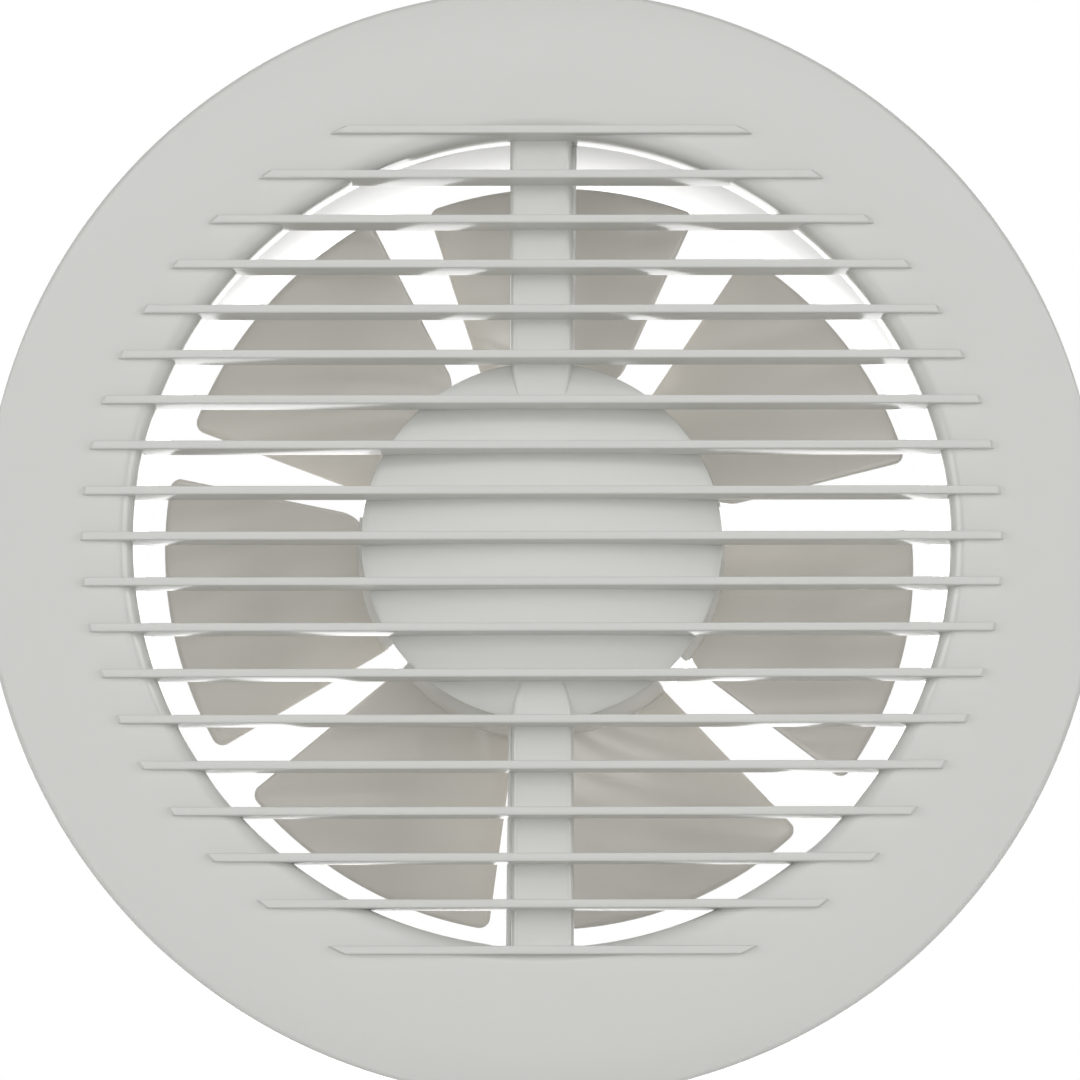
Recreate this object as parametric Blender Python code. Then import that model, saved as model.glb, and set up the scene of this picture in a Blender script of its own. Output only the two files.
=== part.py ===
"""Bathroom exhaust fan, wall mounted, for a nominal 150 mm duct.

Lengths below are millimetres and are scaled to metres once, when a mesh is made.
X is right seen from the front, Z is up and Y runs into the wall. The fan's axis is the Y axis and the
wall's surface is the plane Y = 0. Angles are degrees clockwise from the top, seen from the front.
"""
import math

import bmesh
import bpy
from mathutils import Matrix, Vector

MM = 0.001

# Clearances
GAP = 0.3
SCREW_PLAY = 0.3
TIP_CLEARANCE = 5.65
FLANGE_CLEARANCE = 0.4
ARM_CLEARANCE = 0.5
CUP_CLEARANCE = 0.4
RUNNING_GAP = 0.8

# Smoothness
BODY_SIDE_COUNT = 60
MOTOR_SIDE_COUNT = 40
SMALL_SIDE_COUNT = 16
SCREW_SIDE_COUNT = 8

# Duct and flange, which the cover and the blades' tips follow
DUCT_INNER = 73.0
DUCT_WALL = 1.5
DUCT_OUTER = DUCT_INNER + DUCT_WALL
DUCT_REAR = 46.9
FLANGE_FRONT = -2.5
FLANGE_WIDTH = 22.4
FLANGE_RADIUS = DUCT_INNER + FLANGE_WIDTH
RIM_INSET = 8.4
SOCKET_RADIUS = 3.6
SOCKET_FRONT = -8.0
BOSS_SINK = 1.5
WALL_HOLE_RADIUS = 2.25
WALL_HOLE_CIRCLE = FLANGE_RADIUS - RIM_INSET
WALL_HOLE_ANGLES = (75.0, 105.0, 255.0, 285.0)
LEDGE_LENGTH = 5.1
LEDGE_SINK = 0.6
LEDGE_DEPTH = 5.3

# Rotor and bearings, which the stator, the bracket and the hub follow
SHAFT_RADIUS = 2.0
BEARING_WALL = 1.9
BEARING_RADIUS = SHAFT_RADIUS + GAP + BEARING_WALL
BEARING_LENGTH = 3.6
BEARING_CHAMFER = 0.3
SEAT_RADIUS = BEARING_RADIUS + GAP
SEAT_LIP = 0.4
SEAT_LIP_RADIUS = SHAFT_RADIUS + 1.0
BOSS_RADIUS = SEAT_RADIUS + 1.7
RETAINER_INNER = SHAFT_RADIUS + 0.9
RETAINER_OUTER = BOSS_RADIUS - 0.2
RETAINER_THICKNESS = 0.5
WASHER_RADIUS = SHAFT_RADIUS + 2.0
WASHER_THICKNESS = 0.4
CORE_FRONT = 1.5
CORE_LENGTH = 9.0
CORE_REAR = CORE_FRONT + CORE_LENGTH
POLE_BORE = 13.3
AIR_GAP = 0.6
ROTOR_RADIUS = POLE_BORE - AIR_GAP
END_RING_WIDTH = 4.9
END_RING_OUTER = ROTOR_RADIUS - GAP
END_RING_INNER = END_RING_OUTER - END_RING_WIDTH
END_RING_THICKNESS = 1.2

# Stator
POLE_COUNT = 4
POLE_HALF = 4.0
POLE_SPREAD = 33.0
SHOE_THICKNESS = 2.0
SHOE_TAPER = 0.4
POLE_BACK = POLE_BORE + SHOE_THICKNESS
COIL_BUILD = 1.4
COIL_CORNER = 1.2
BOBBIN_WALL = 0.7
BOBBIN_MARGIN = 0.2
BOBBIN_OVERHANG = 2 * GAP + BOBBIN_WALL + COIL_BUILD + BOBBIN_MARGIN
BOBBIN_HALF = POLE_HALF + BOBBIN_OVERHANG
BOBBIN_CORNER = 0.8
BOBBIN_LOW = POLE_BACK + GAP
BOBBIN_LENGTH = 4.5
BOBBIN_HIGH = BOBBIN_LOW + BOBBIN_LENGTH
YOKE_CLEARANCE = 1.9
YOKE_INNER = BOBBIN_HIGH + YOKE_CLEARANCE
YOKE_WIDTH = 4.9
STATOR_RADIUS = YOKE_INNER + YOKE_WIDTH
TIE_CIRCLE = STATOR_RADIUS - 2.5
TIE_ANGLES = (45.0, 225.0)
TIE_BOSS_RADIUS = 3.1
TIE_POST_RADIUS = 3.0
TIE_LENGTH = 18.6
SHIELD_THICKNESS = 1.6
SHIELD_BOSS = 1.4
SHIELD_REAR = CORE_FRONT - BOBBIN_OVERHANG - 2 * GAP
SHIELD_FRONT = SHIELD_REAR - SHIELD_THICKNESS
SHAFT_FRONT = SHIELD_FRONT - SHIELD_BOSS - GAP

# Motor bracket
TWIST = 0.75
BARREL_INNER = STATOR_RADIUS + GAP
BARREL_WALL = 1.8
BARREL_OUTER = BARREL_INNER + BARREL_WALL
SHOULDER_FRONT = CORE_REAR + GAP
SHOULDER_INNER = YOKE_INNER - 0.2
NOSE_WALL = 1.5
NOSE_OUTER = SHOULDER_INNER + NOSE_WALL
NOSE_LENGTH = 7.5
NOSE_REAR = CORE_REAR + NOSE_LENGTH
NOSE_BOSS = 0.6
CUP_REAR = 3.0
CUP_WALL = 1.8
CUP_SINK = 0.9
CUP_RADIUS = BARREL_OUTER + CUP_WALL + CUP_SINK
CUP_DRAFT = 0.5
CUP_FRONT = SHIELD_FRONT - 1.0
ARM_HALF = 5.45
ARM_WALL = 1.5
ARM_FRONT = -2.4
ARM_REAR = CUP_REAR
ARM_END = DUCT_INNER - GAP
SCREW_INSET = 2.6
BRACKET_SCREW_CIRCLE = DUCT_INNER - SCREW_INSET
WIRE_WINDOW_HALF = 3.2
WIRE_WINDOW_FRONT = -1.6
WIRE_WINDOW_REAR = 0.9

# Impeller
HUB_FRONT = CUP_REAR + RUNNING_GAP
HUB_RADIUS = CUP_RADIUS + RUNNING_GAP
HUB_DRAFT = 0.4
HUB_WALL = 1.7
HUB_FLOOR_FRONT = NOSE_REAR + NOSE_BOSS + 3 * GAP
HUB_FLOOR = 2.0
HUB_FLOOR_REAR = HUB_FLOOR_FRONT + HUB_FLOOR
HUB_RIM = 2.5
HUB_REAR = HUB_FLOOR_REAR + HUB_RIM
HUB_BOSS_RADIUS = SHAFT_RADIUS + 4.0
HUB_BOSS_LENGTH = 8.0
HUB_BOSS_REAR = HUB_FLOOR_REAR + HUB_BOSS_LENGTH
SHAFT_OVERRUN = 2.5
SHAFT_REAR = HUB_BOSS_REAR + SHAFT_OVERRUN
BLADE_COUNT = 7
BLADE_TIP = DUCT_INNER - TIP_CLEARANCE
BLADE_SINK = 0.7
BLADE_ROOT = HUB_RADIUS - BLADE_SINK
BLADE_THICKNESS = 1.6
BLADE_FAR_ANGLE = -17.67
BLADE_NEAR_ANGLE = 24.54
BLADE_FAR_DEPTH = HUB_REAR - 1.8
BLADE_NEAR_DEPTH = 10.4
BLADE_CORNER = 2.0
CLIP_RADIUS = SHAFT_RADIUS + 3.0
CLIP_THICKNESS = 0.8

# Front cover
FACE = -12.8
COVER_WALL = 1.8
COVER_DRAFT = 0.1
COVER_RADIUS = FLANGE_RADIUS + FLANGE_CLEARANCE + COVER_WALL - COVER_DRAFT
COVER_EDGE_ROUND = 1.0
COVER_REAR = -GAP
OPENING_STEP = 1.55
OPENING_RADIUS = DUCT_INNER - OPENING_STEP
FUNNEL_WIDTH = 3.4
FUNNEL_DEPTH = 2.6
LIP_THICKNESS = 1.65
LIP_REAR = FLANGE_FRONT - GAP
LIP_FILLET = 1.4
SLAT_PITCH = 8.0
SLAT_HALF_COUNT = int((OPENING_RADIUS + LIP_THICKNESS / 2) / SLAT_PITCH)
SLAT_RISE = 1.2
SLAT_FRONT = FACE - SLAT_RISE
SLAT_DEPTH = 6.9
SLAT_REAR = SLAT_FRONT + SLAT_DEPTH
SLAT_THICKNESS = 1.45
SLAT_SINK = 1.2
SLAT_OVERRUN = 8.95
SLAT_END_RADIUS = OPENING_RADIUS + SLAT_OVERRUN
DOME_RADIUS = CUP_RADIUS
DOME_SKIRT_REAR = CUP_FRONT - CUP_CLEARANCE
DOME_SKIRT = 1.4
DOME_EDGE = DOME_SKIRT_REAR - DOME_SKIRT
DOME_RISE = 3.0
DOME_WALL = 1.5
SPINE_HALF = ARM_HALF
SPINE_OVERLAP = 0.6
SPINE_FRONT = SLAT_REAR - SPINE_OVERLAP
SPINE_REAR = ARM_FRONT - ARM_CLEARANCE
SPINE_WALL = 1.5
SPINE_ROUND = 1.6
SPINE_START = DOME_RADIUS + 1.0
SPINE_SINK = 0.85
SPINE_END = OPENING_RADIUS + SPINE_SINK
NECK_HALF = 4.1
NECK_LENGTH = 8.7
NECK_REAR = DOME_SKIRT_REAR - 0.4
PEG_RADIUS = 1.9
PEG_CIRCLE = FLANGE_RADIUS - RIM_INSET
PEG_REAR = -0.9
PEG_ANGLES = (52.0, 128.0, 232.0, 308.0)

# Screws
BRACKET_SCREW_LENGTH = 6.0
SMALL_SHANK = 1.1
SMALL_HEAD = 1.9
SMALL_HEAD_HEIGHT = 1.6
TIE_SHANK = 1.3
TIE_HEAD = 2.4

# Supply side, on the flange near the top
BLOCK_ANGLE = -17.0
BLOCK_INSET = 9.9
BLOCK_CIRCLE = FLANGE_RADIUS - BLOCK_INSET
BLOCK_LENGTH = 15.0
BLOCK_WIDTH = 9.0
BLOCK_HEIGHT = 7.0
POLE_SPACING = 4.5
POLE_DEPTH = -5.2
POLE_HOLE = 1.3
TERMINAL_SPACING = 9.6
TERMINAL_SCREW_HEAD = 1.2
TERMINAL_SCREW_HOLE = 1.5
TERMINAL_SCREW_SINK = 0.5
BORE_START = 2.6
FIXING_SEAT = -6.0
FIXING_LENGTH = 5.4
CLAMP_ANGLE = -30.0
CLAMP_CIRCLE = FLANGE_RADIUS - RIM_INSET
CLAMP_SPACING = 10.0
CLAMP_WIDTH = 6.0
CLAMP_MARGIN = 2.6
CLAMP_CORNER = 1.2
CLAMP_THICKNESS = 1.6
CLAMP_POST_RADIUS = 2.4
CLAMP_POST_FRONT = -6.7
INLET_ANGLE = -40.0
INLET_HOLE = 6.0
GROMMET_COLLAR = 7.6
GROMMET_HEIGHT = 1.6
GROMMET_BORE = 3.6
WIRE_RADIUS = 0.95
WIRE_HALF_SPACING = 1.5
WIRE_SPACING = 4.37
WIRE_DEPTH = -0.35
NOTCH_HALF = 3.9
NOTCH_FRONT = -5.8

# Turns a drawing in local X and Y, extruded along local Z, into one that lies flat against the wall
FLAT = Matrix(((1, 0, 0, 0), (0, 0, 1, 0), (0, 1, 0, 0), (0, 0, 0, 1)))


def clear_scene():
    for item in list(bpy.data.objects):
        bpy.data.objects.remove(item, do_unlink=True)


def paint(name, colour, roughness, metallic=0.0):
    """A plain material for one piece."""
    material = bpy.data.materials.new(name)
    material.use_nodes = True
    shader = material.node_tree.nodes["Principled BSDF"]
    shader.inputs["Base Color"].default_value = (*colour, 1.0)
    shader.inputs["Roughness"].default_value = roughness
    shader.inputs["Metallic"].default_value = metallic
    material.diffuse_color = (*colour, 1.0)
    return material


def around(angle, radius=0.0):
    """A frame at an angle and radius: local X runs clockwise, local Z outwards, local Y to the wall."""
    return Matrix.Rotation(math.radians(angle), 4, 'Y') @ Matrix.Translation((0, 0, radius))


def turn(mesh, profile, sides, frame=None):
    """A solid turned about the frame's Y axis from a closed profile of (radius, depth) points."""
    frame = frame or Matrix()
    loops = []
    for radius, depth in profile:
        if radius < 1e-6:
            loops.append([mesh.verts.new(frame @ Vector((0, depth, 0)))])
            continue
        loop = []
        for side in range(sides):
            angle = 2 * math.pi * side / sides
            point = Vector((radius * math.sin(angle), depth, radius * math.cos(angle)))
            loop.append(mesh.verts.new(frame @ point))
        loops.append(loop)
    for first, second in zip(loops, loops[1:] + loops[:1]):
        if len(first) == 1 and len(second) == 1:
            continue
        for side in range(sides):
            after = (side + 1) % sides
            corners = [first[side % len(first)], first[after % len(first)],
                       second[after % len(second)], second[side % len(second)]]
            mesh.faces.new(list(dict.fromkeys(corners)))


def ring(mesh, inner, outer, front, rear, sides, frame=None):
    turn(mesh, [(inner, front), (outer, front), (outer, rear), (inner, rear)], sides, frame)


def disc(mesh, radius, front, rear, sides, frame=None):
    turn(mesh, [(0, front), (radius, front), (radius, rear), (0, rear)], sides, frame)


def extrude(mesh, outlines, low, high, frame):
    """A prism from an outline and its holes, drawn in local X and Y and extruded along local Z."""
    edges = []
    for outline in outlines:
        loop = [mesh.verts.new((x, y, low)) for x, y in outline]
        edges += [mesh.edges.new((a, b)) for a, b in zip(loop, loop[1:] + loop[:1])]
    filled = bmesh.ops.triangle_fill(mesh, use_beauty=True, edges=edges)
    base = [item for item in filled["geom"] if isinstance(item, bmesh.types.BMFace)]
    lower = {vert for face in base for vert in face.verts}
    grown = bmesh.ops.extrude_face_region(mesh, geom=base, use_keep_orig=True)
    upper = {item for item in grown["geom"] if isinstance(item, bmesh.types.BMVert)}
    for vert in upper:
        vert.co.z = high
    bmesh.ops.transform(mesh, matrix=frame, verts=list(lower | upper))


def box(mesh, x, y, z, frame=None):
    """A block between the two values of each pair."""
    outline = [(x[0], y[0]), (x[1], y[0]), (x[1], y[1]), (x[0], y[1])]
    extrude(mesh, [outline], z[0], z[1], frame or Matrix())


def circle(radius, sides, centre=(0.0, 0.0)):
    points = []
    for side in range(sides):
        angle = 2 * math.pi * side / sides
        points.append((centre[0] + radius * math.sin(angle), centre[1] + radius * math.cos(angle)))
    return points


def polar(radius, angle):
    """A point of a drawing that lies flat against the wall."""
    return radius * math.sin(math.radians(angle)), radius * math.cos(math.radians(angle))


def solid(name, draw, *values):
    """An object whose mesh the function draws in millimetres."""
    drawing = bmesh.new()
    draw(drawing, *values)
    bmesh.ops.scale(drawing, vec=(MM, MM, MM), verts=drawing.verts)
    bmesh.ops.recalc_face_normals(drawing, faces=drawing.faces)
    bmesh.ops.triangulate(drawing, faces=drawing.faces)
    mesh = bpy.data.meshes.new(name)
    drawing.to_mesh(mesh)
    drawing.free()
    item = bpy.data.objects.new(name, mesh)
    bpy.context.scene.collection.objects.link(item)
    return item


def combine(body, draws, operation):
    """Joins the drawn tools to the body, or cuts them from it, in one step."""
    group = bpy.data.collections.new("tools")
    for draw in draws:
        tool = solid("tool", draw)
        bpy.context.scene.collection.objects.unlink(tool)
        group.objects.link(tool)
    bpy.context.scene.collection.children.link(group)
    change = body.modifiers.new("combine", 'BOOLEAN')
    change.operation = operation
    change.solver = 'EXACT'
    change.operand_type = 'COLLECTION'
    change.collection = group
    graph = bpy.context.evaluated_depsgraph_get()
    result = bpy.data.meshes.new_from_object(body.evaluated_get(graph))
    body.modifiers.clear()
    old = body.data
    body.data = result
    bpy.data.meshes.remove(old)
    for tool in list(group.objects):
        bpy.data.objects.remove(tool, do_unlink=True)
    bpy.data.collections.remove(group)


def join(body, *draws):
    combine(body, draws, 'UNION')


def cut(body, *draws):
    combine(body, draws, 'DIFFERENCE')


def copies_of(first, name, frames, material, parent):
    """Copies of one piece that share its mesh. It is drawn at the origin and each is placed by a frame."""
    finish(first, material, parent)
    first.data.name = name
    for index, frame in enumerate(frames):
        item = first
        if index:
            item = bpy.data.objects.new(f"{name}_{index + 1}", first.data)
            bpy.context.scene.collection.objects.link(item)
            item.parent = parent
        item.matrix_basis = Matrix.Translation(frame.translation * MM) @ frame.to_3x3().to_4x4()


def copies(name, draw, frames, material, parent):
    copies_of(solid(name + "_1", draw), name, frames, material, parent)


def finish(item, material, parent, angle=32.0):
    item.data.name = item.name
    item.data.materials.clear()
    item.data.materials.append(material)
    item.data.shade_smooth()
    item.data.set_sharp_from_angle(angle=math.radians(angle))
    item.parent = parent
    return item


# Front cover

def draw_cover_ring(mesh):
    rear_radius = COVER_RADIUS + COVER_DRAFT
    inner = rear_radius - COVER_WALL
    inside = FACE + COVER_WALL
    profile = [(rear_radius, COVER_REAR)]
    for step in range(3):
        angle = math.radians(90 * step / 2)
        profile.append((COVER_RADIUS - COVER_EDGE_ROUND * (1 - math.cos(angle)),
                        FACE + COVER_EDGE_ROUND * (1 - math.sin(angle))))
    for step in range(4):
        angle = math.radians(90 * step / 3)
        profile.append((OPENING_RADIUS + FUNNEL_WIDTH * (1 - math.sin(angle)),
                        FACE + FUNNEL_DEPTH * (1 - math.cos(angle))))
    lip = OPENING_RADIUS + LIP_THICKNESS
    profile += [(OPENING_RADIUS, LIP_REAR), (lip, LIP_REAR), (lip, inside + LIP_FILLET),
                (lip + LIP_FILLET, inside), (inner, inside), (inner, COVER_REAR)]
    turn(mesh, profile, BODY_SIDE_COUNT)


def draw_slats(mesh):
    """Each slat is deep across the opening and shallow where it runs on over the face."""
    half = SLAT_THICKNESS / 2
    end_rear = FACE + SLAT_SINK
    for index in range(SLAT_HALF_COUNT, -SLAT_HALF_COUNT - 1, -1):
        middle = index * SLAT_PITCH
        deep = math.sqrt((OPENING_RADIUS + LIP_THICKNESS / 2) ** 2 - middle ** 2)
        reach = math.sqrt(SLAT_END_RADIUS ** 2 - middle ** 2)
        levels = []
        for height in (-half, half):
            end = reach - height * middle / reach
            outline = [(-end, SLAT_FRONT), (end, SLAT_FRONT), (end, end_rear), (deep, end_rear),
                       (deep, SLAT_REAR), (-deep, SLAT_REAR), (-deep, end_rear), (-end, end_rear)]
            levels.append([mesh.verts.new((x, y, middle + height)) for x, y in outline])
        mesh.faces.new(levels[0])
        mesh.faces.new(levels[1])
        count = len(levels[0])
        for corner in range(count):
            after = (corner + 1) % count
            mesh.faces.new((levels[0][corner], levels[0][after], levels[1][after], levels[1][corner]))


def spine_section():
    """The channel's outline in X and Y, open to the wall."""
    inside = SPINE_HALF - SPINE_WALL
    left = [(-SPINE_HALF, SPINE_REAR)]
    for step in range(3):
        angle = math.radians(90 * step / 2)
        left.append((-SPINE_HALF + SPINE_ROUND * (1 - math.cos(angle)),
                     SPINE_FRONT + SPINE_ROUND * (1 - math.sin(angle))))
    right = [(-x, y) for x, y in reversed(left)]
    back = [(inside, SPINE_REAR), (inside, SPINE_FRONT + SPINE_WALL),
            (-inside, SPINE_FRONT + SPINE_WALL), (-inside, SPINE_REAR)]
    return left + right + back


def draw_spine(mesh):
    for angle in (0, 180):
        extrude(mesh, [spine_section()], SPINE_START, SPINE_END, around(angle))


def draw_spine_necks(mesh):
    """The tapered ends where the spine runs into the dome."""
    start = SPINE_START - NECK_LENGTH
    middle = DOME_RADIUS - 2.2
    levels = [(start, NECK_HALF), (middle, SPINE_HALF - 0.35), (SPINE_START + 0.6, SPINE_HALF - 0.1)]
    outline = [(half, level) for level, half in levels]
    outline += [(-half, level) for level, half in reversed(levels)]
    for angle in (0, 180):
        extrude(mesh, [outline], SPINE_FRONT + 0.04, NECK_REAR, around(angle) @ FLAT)


def draw_dome(mesh):
    outer = []
    for step in range(5):
        radius = (DOME_RADIUS - 0.5) * step / 4
        outer.append((radius, DOME_EDGE - DOME_RISE * (1 - (radius / DOME_RADIUS) ** 2)))
    inner = [(radius, depth + DOME_WALL) for radius, depth in outer[:-1]]
    lip = DOME_RADIUS - DOME_WALL
    skirt = [(DOME_RADIUS, DOME_EDGE + 0.25), (DOME_RADIUS, DOME_SKIRT_REAR), (lip, DOME_SKIRT_REAR)]
    turn(mesh, outer + skirt + inner[::-1], MOTOR_SIDE_COUNT)


def draw_pegs(mesh):
    for angle in PEG_ANGLES:
        disc(mesh, PEG_RADIUS, FACE + COVER_WALL / 2, PEG_REAR, SCREW_SIDE_COUNT, around(angle, PEG_CIRCLE))


def draw_notch(mesh):
    outside = OPENING_RADIUS + LIP_THICKNESS + 2 * GAP
    box(mesh, (-NOTCH_HALF, NOTCH_HALF), (NOTCH_FRONT, LIP_REAR + 1), (OPENING_RADIUS - 5 * GAP, outside))


def build_cover(parent):
    cover = solid("front_cover", draw_cover_ring)
    cut(cover, draw_notch)
    join(cover, draw_pegs, draw_slats, draw_spine, draw_dome, draw_spine_necks)
    finish(cover, paint("front_cover_plastic", (0.60, 0.60, 0.57), 0.32), parent)


# Housing

def draw_housing_body(mesh):
    profile = [(DUCT_INNER, FLANGE_FRONT), (FLANGE_RADIUS, FLANGE_FRONT), (FLANGE_RADIUS, 0), (DUCT_OUTER, 0),
               (DUCT_OUTER, DUCT_REAR), (DUCT_INNER, DUCT_REAR)]
    turn(mesh, profile, BODY_SIDE_COUNT)


def draw_sockets(mesh):
    rear = FLANGE_FRONT + BOSS_SINK
    for angle in PEG_ANGLES:
        disc(mesh, SOCKET_RADIUS, SOCKET_FRONT, rear, SMALL_SIDE_COUNT, around(angle, PEG_CIRCLE))


def clamp_frames():
    return [around(CLAMP_ANGLE, CLAMP_CIRCLE + side * CLAMP_SPACING / 2) for side in (-1, 1)]


def draw_clamp_posts(mesh):
    for frame in clamp_frames():
        disc(mesh, CLAMP_POST_RADIUS, CLAMP_POST_FRONT, FLANGE_FRONT + BOSS_SINK, SCREW_SIDE_COUNT, frame)


def draw_ledges(mesh):
    front = ARM_REAR + GAP
    for angle in (TWIST, TWIST + 180):
        box(mesh, (-ARM_HALF, ARM_HALF), (front, front + LEDGE_DEPTH),
            (DUCT_INNER - LEDGE_LENGTH, DUCT_INNER + LEDGE_SINK), around(angle))


def draw_flange_holes(mesh):
    for angle in PEG_ANGLES:
        disc(mesh, PEG_RADIUS + GAP, SOCKET_FRONT - 1, 1, SCREW_SIDE_COUNT, around(angle, PEG_CIRCLE))
    for angle in WALL_HOLE_ANGLES:
        disc(mesh, WALL_HOLE_RADIUS, FLANGE_FRONT - 1, 1, SMALL_SIDE_COUNT, around(angle, WALL_HOLE_CIRCLE))
    disc(mesh, INLET_HOLE, FLANGE_FRONT - 1, 1, SMALL_SIDE_COUNT, around(INLET_ANGLE, BLOCK_CIRCLE))
    pilot = SMALL_SHANK + SCREW_PLAY
    disc(mesh, pilot, FLANGE_FRONT - 1, 1, SCREW_SIDE_COUNT, around(BLOCK_ANGLE, BLOCK_CIRCLE))
    for frame in clamp_frames():
        disc(mesh, pilot, CLAMP_POST_FRONT - 1, 1, SCREW_SIDE_COUNT, frame)
    for angle in (TWIST, TWIST + 180):
        disc(mesh, pilot, ARM_REAR - 1, ARM_REAR + LEDGE_DEPTH + 2, SCREW_SIDE_COUNT,
             around(angle, BRACKET_SCREW_CIRCLE))


def build_housing(parent):
    housing = solid("housing", draw_housing_body)
    join(housing, draw_sockets, draw_clamp_posts, draw_ledges)
    cut(housing, draw_flange_holes)
    finish(housing, paint("housing_plastic", (0.78, 0.78, 0.76), 0.22), parent)


# Motor bracket

def draw_bracket_body(mesh):
    cup_inner = CUP_RADIUS - CUP_WALL
    floor_front = CUP_REAR - CUP_WALL
    nose_inside = NOSE_REAR - NOSE_WALL
    seat_rear = NOSE_REAR - 0.1
    seat_front = seat_rear - 2 * GAP - BEARING_LENGTH
    profile = [
        (CUP_RADIUS, CUP_FRONT), (CUP_RADIUS + CUP_DRAFT, CUP_REAR), (BARREL_OUTER, CUP_REAR),
        (BARREL_OUTER, SHOULDER_FRONT + NOSE_WALL), (NOSE_OUTER, SHOULDER_FRONT + NOSE_WALL),
        (NOSE_OUTER, NOSE_REAR), (BOSS_RADIUS, NOSE_REAR), (BOSS_RADIUS, NOSE_REAR + NOSE_BOSS),
        (SEAT_LIP_RADIUS, NOSE_REAR + NOSE_BOSS), (SEAT_LIP_RADIUS, seat_rear), (SEAT_RADIUS, seat_rear),
        (SEAT_RADIUS, seat_front), (BOSS_RADIUS, seat_front), (BOSS_RADIUS, nose_inside),
        (SHOULDER_INNER, nose_inside), (SHOULDER_INNER, SHOULDER_FRONT), (BARREL_INNER, SHOULDER_FRONT),
        (BARREL_INNER, floor_front), (cup_inner + 0.3, floor_front), (cup_inner, CUP_FRONT)]
    turn(mesh, profile, MOTOR_SIDE_COUNT, around(TWIST))


def draw_arms(mesh):
    inside = ARM_HALF - ARM_WALL
    floor = ARM_REAR - ARM_WALL
    section = [(-ARM_HALF, ARM_FRONT), (-ARM_HALF, ARM_REAR - 0.02), (ARM_HALF, ARM_REAR - 0.02),
               (ARM_HALF, ARM_FRONT), (inside, ARM_FRONT), (inside, floor), (-inside, floor),
               (-inside, ARM_FRONT)]
    for angle in (TWIST, TWIST + 180):
        extrude(mesh, [section], CUP_RADIUS - CUP_WALL / 2, ARM_END, around(angle))


def tie_frames():
    return [around(TWIST + angle, TIE_CIRCLE) for angle in TIE_ANGLES]


def draw_tie_bosses(mesh):
    for frame in tie_frames():
        disc(mesh, TIE_BOSS_RADIUS, SHOULDER_FRONT + 0.4, NOSE_REAR - NOSE_WALL + 0.2,
             SCREW_SIDE_COUNT, frame)


def draw_bracket_holes(mesh):
    for frame in tie_frames():
        disc(mesh, TIE_SHANK + SCREW_PLAY, SHOULDER_FRONT - 1, NOSE_REAR + 1, SCREW_SIDE_COUNT, frame)
    for angle in (TWIST, TWIST + 180):
        disc(mesh, SMALL_SHANK + SCREW_PLAY, 0, ARM_REAR + 1, SCREW_SIDE_COUNT,
             around(angle, BRACKET_SCREW_CIRCLE))
    box(mesh, (-WIRE_WINDOW_HALF, WIRE_WINDOW_HALF), (WIRE_WINDOW_FRONT, WIRE_WINDOW_REAR),
        (CUP_RADIUS - 3, CUP_RADIUS + 2), around(TWIST))


def build_bracket(parent):
    bracket = solid("motor_bracket", draw_bracket_body)
    join(bracket, draw_arms, draw_tie_bosses)
    cut(bracket, draw_bracket_holes)
    finish(bracket, paint("motor_bracket_plastic", (0.80, 0.80, 0.78), 0.25), parent)


# Screws

def screw(mesh, head, head_height, shank, length):
    """A pan head screw driven towards the wall. The underside of the head lies at the origin."""
    profile = [(0, -head_height), (head * 0.75, -head_height), (head, -head_height * 0.5), (head, 0),
               (shank, 0), (shank, length), (0, length)]
    turn(mesh, profile, SCREW_SIDE_COUNT)


def moved(frame, depth):
    return frame @ Matrix.Translation((0, depth, 0))


def draw_bracket_screw(mesh):
    screw(mesh, SMALL_HEAD, SMALL_HEAD_HEIGHT, SMALL_SHANK, BRACKET_SCREW_LENGTH)


def build_bracket_screws(parent):
    depth = ARM_REAR - ARM_WALL - GAP
    frames = [moved(around(angle, BRACKET_SCREW_CIRCLE), depth) for angle in (TWIST, TWIST + 180)]
    steel = paint("bracket_screw_steel", (0.5, 0.5, 0.5), 0.3, 1.0)
    copies("bracket_screw", draw_bracket_screw, frames, steel, parent)


def draw_tie_screw(mesh):
    screw(mesh, TIE_HEAD, SMALL_HEAD_HEIGHT, TIE_SHANK, TIE_LENGTH)


# Motor

def stator_outline():
    """The bore side of the lamination, all poles in turn."""
    points = []
    neck_low = math.degrees(math.asin(POLE_HALF / POLE_BACK))
    neck_high = math.degrees(math.asin(POLE_HALF / YOKE_INNER))
    pitch = 360 / POLE_COUNT
    for pole in range(POLE_COUNT):
        middle = pole * pitch
        shoe = [(YOKE_INNER, -neck_high), (POLE_BACK, -neck_low), (POLE_BACK, -POLE_SPREAD * 0.75)]
        shoe += [(POLE_BACK - SHOE_TAPER, -POLE_SPREAD)]
        points += [polar(radius, middle + angle) for radius, angle in shoe]
        for step in range(9):
            points.append(polar(POLE_BORE, middle - POLE_SPREAD + step * POLE_SPREAD / 4))
        points += [polar(radius, middle - angle) for radius, angle in reversed(shoe)]
        for step in range(1, 4):
            span = pitch - 2 * neck_high
            points.append(polar(YOKE_INNER, middle + neck_high + span * step / 4))
    return points


def draw_stator(mesh):
    spots = [polar(TIE_CIRCLE, angle) for angle in TIE_ANGLES]
    holes = [circle(TIE_SHANK + SCREW_PLAY, SCREW_SIDE_COUNT, spot) for spot in spots]
    outlines = [circle(STATOR_RADIUS, MOTOR_SIDE_COUNT), stator_outline()] + holes
    extrude(mesh, outlines, CORE_FRONT, CORE_REAR, around(TWIST) @ FLAT)


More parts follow.
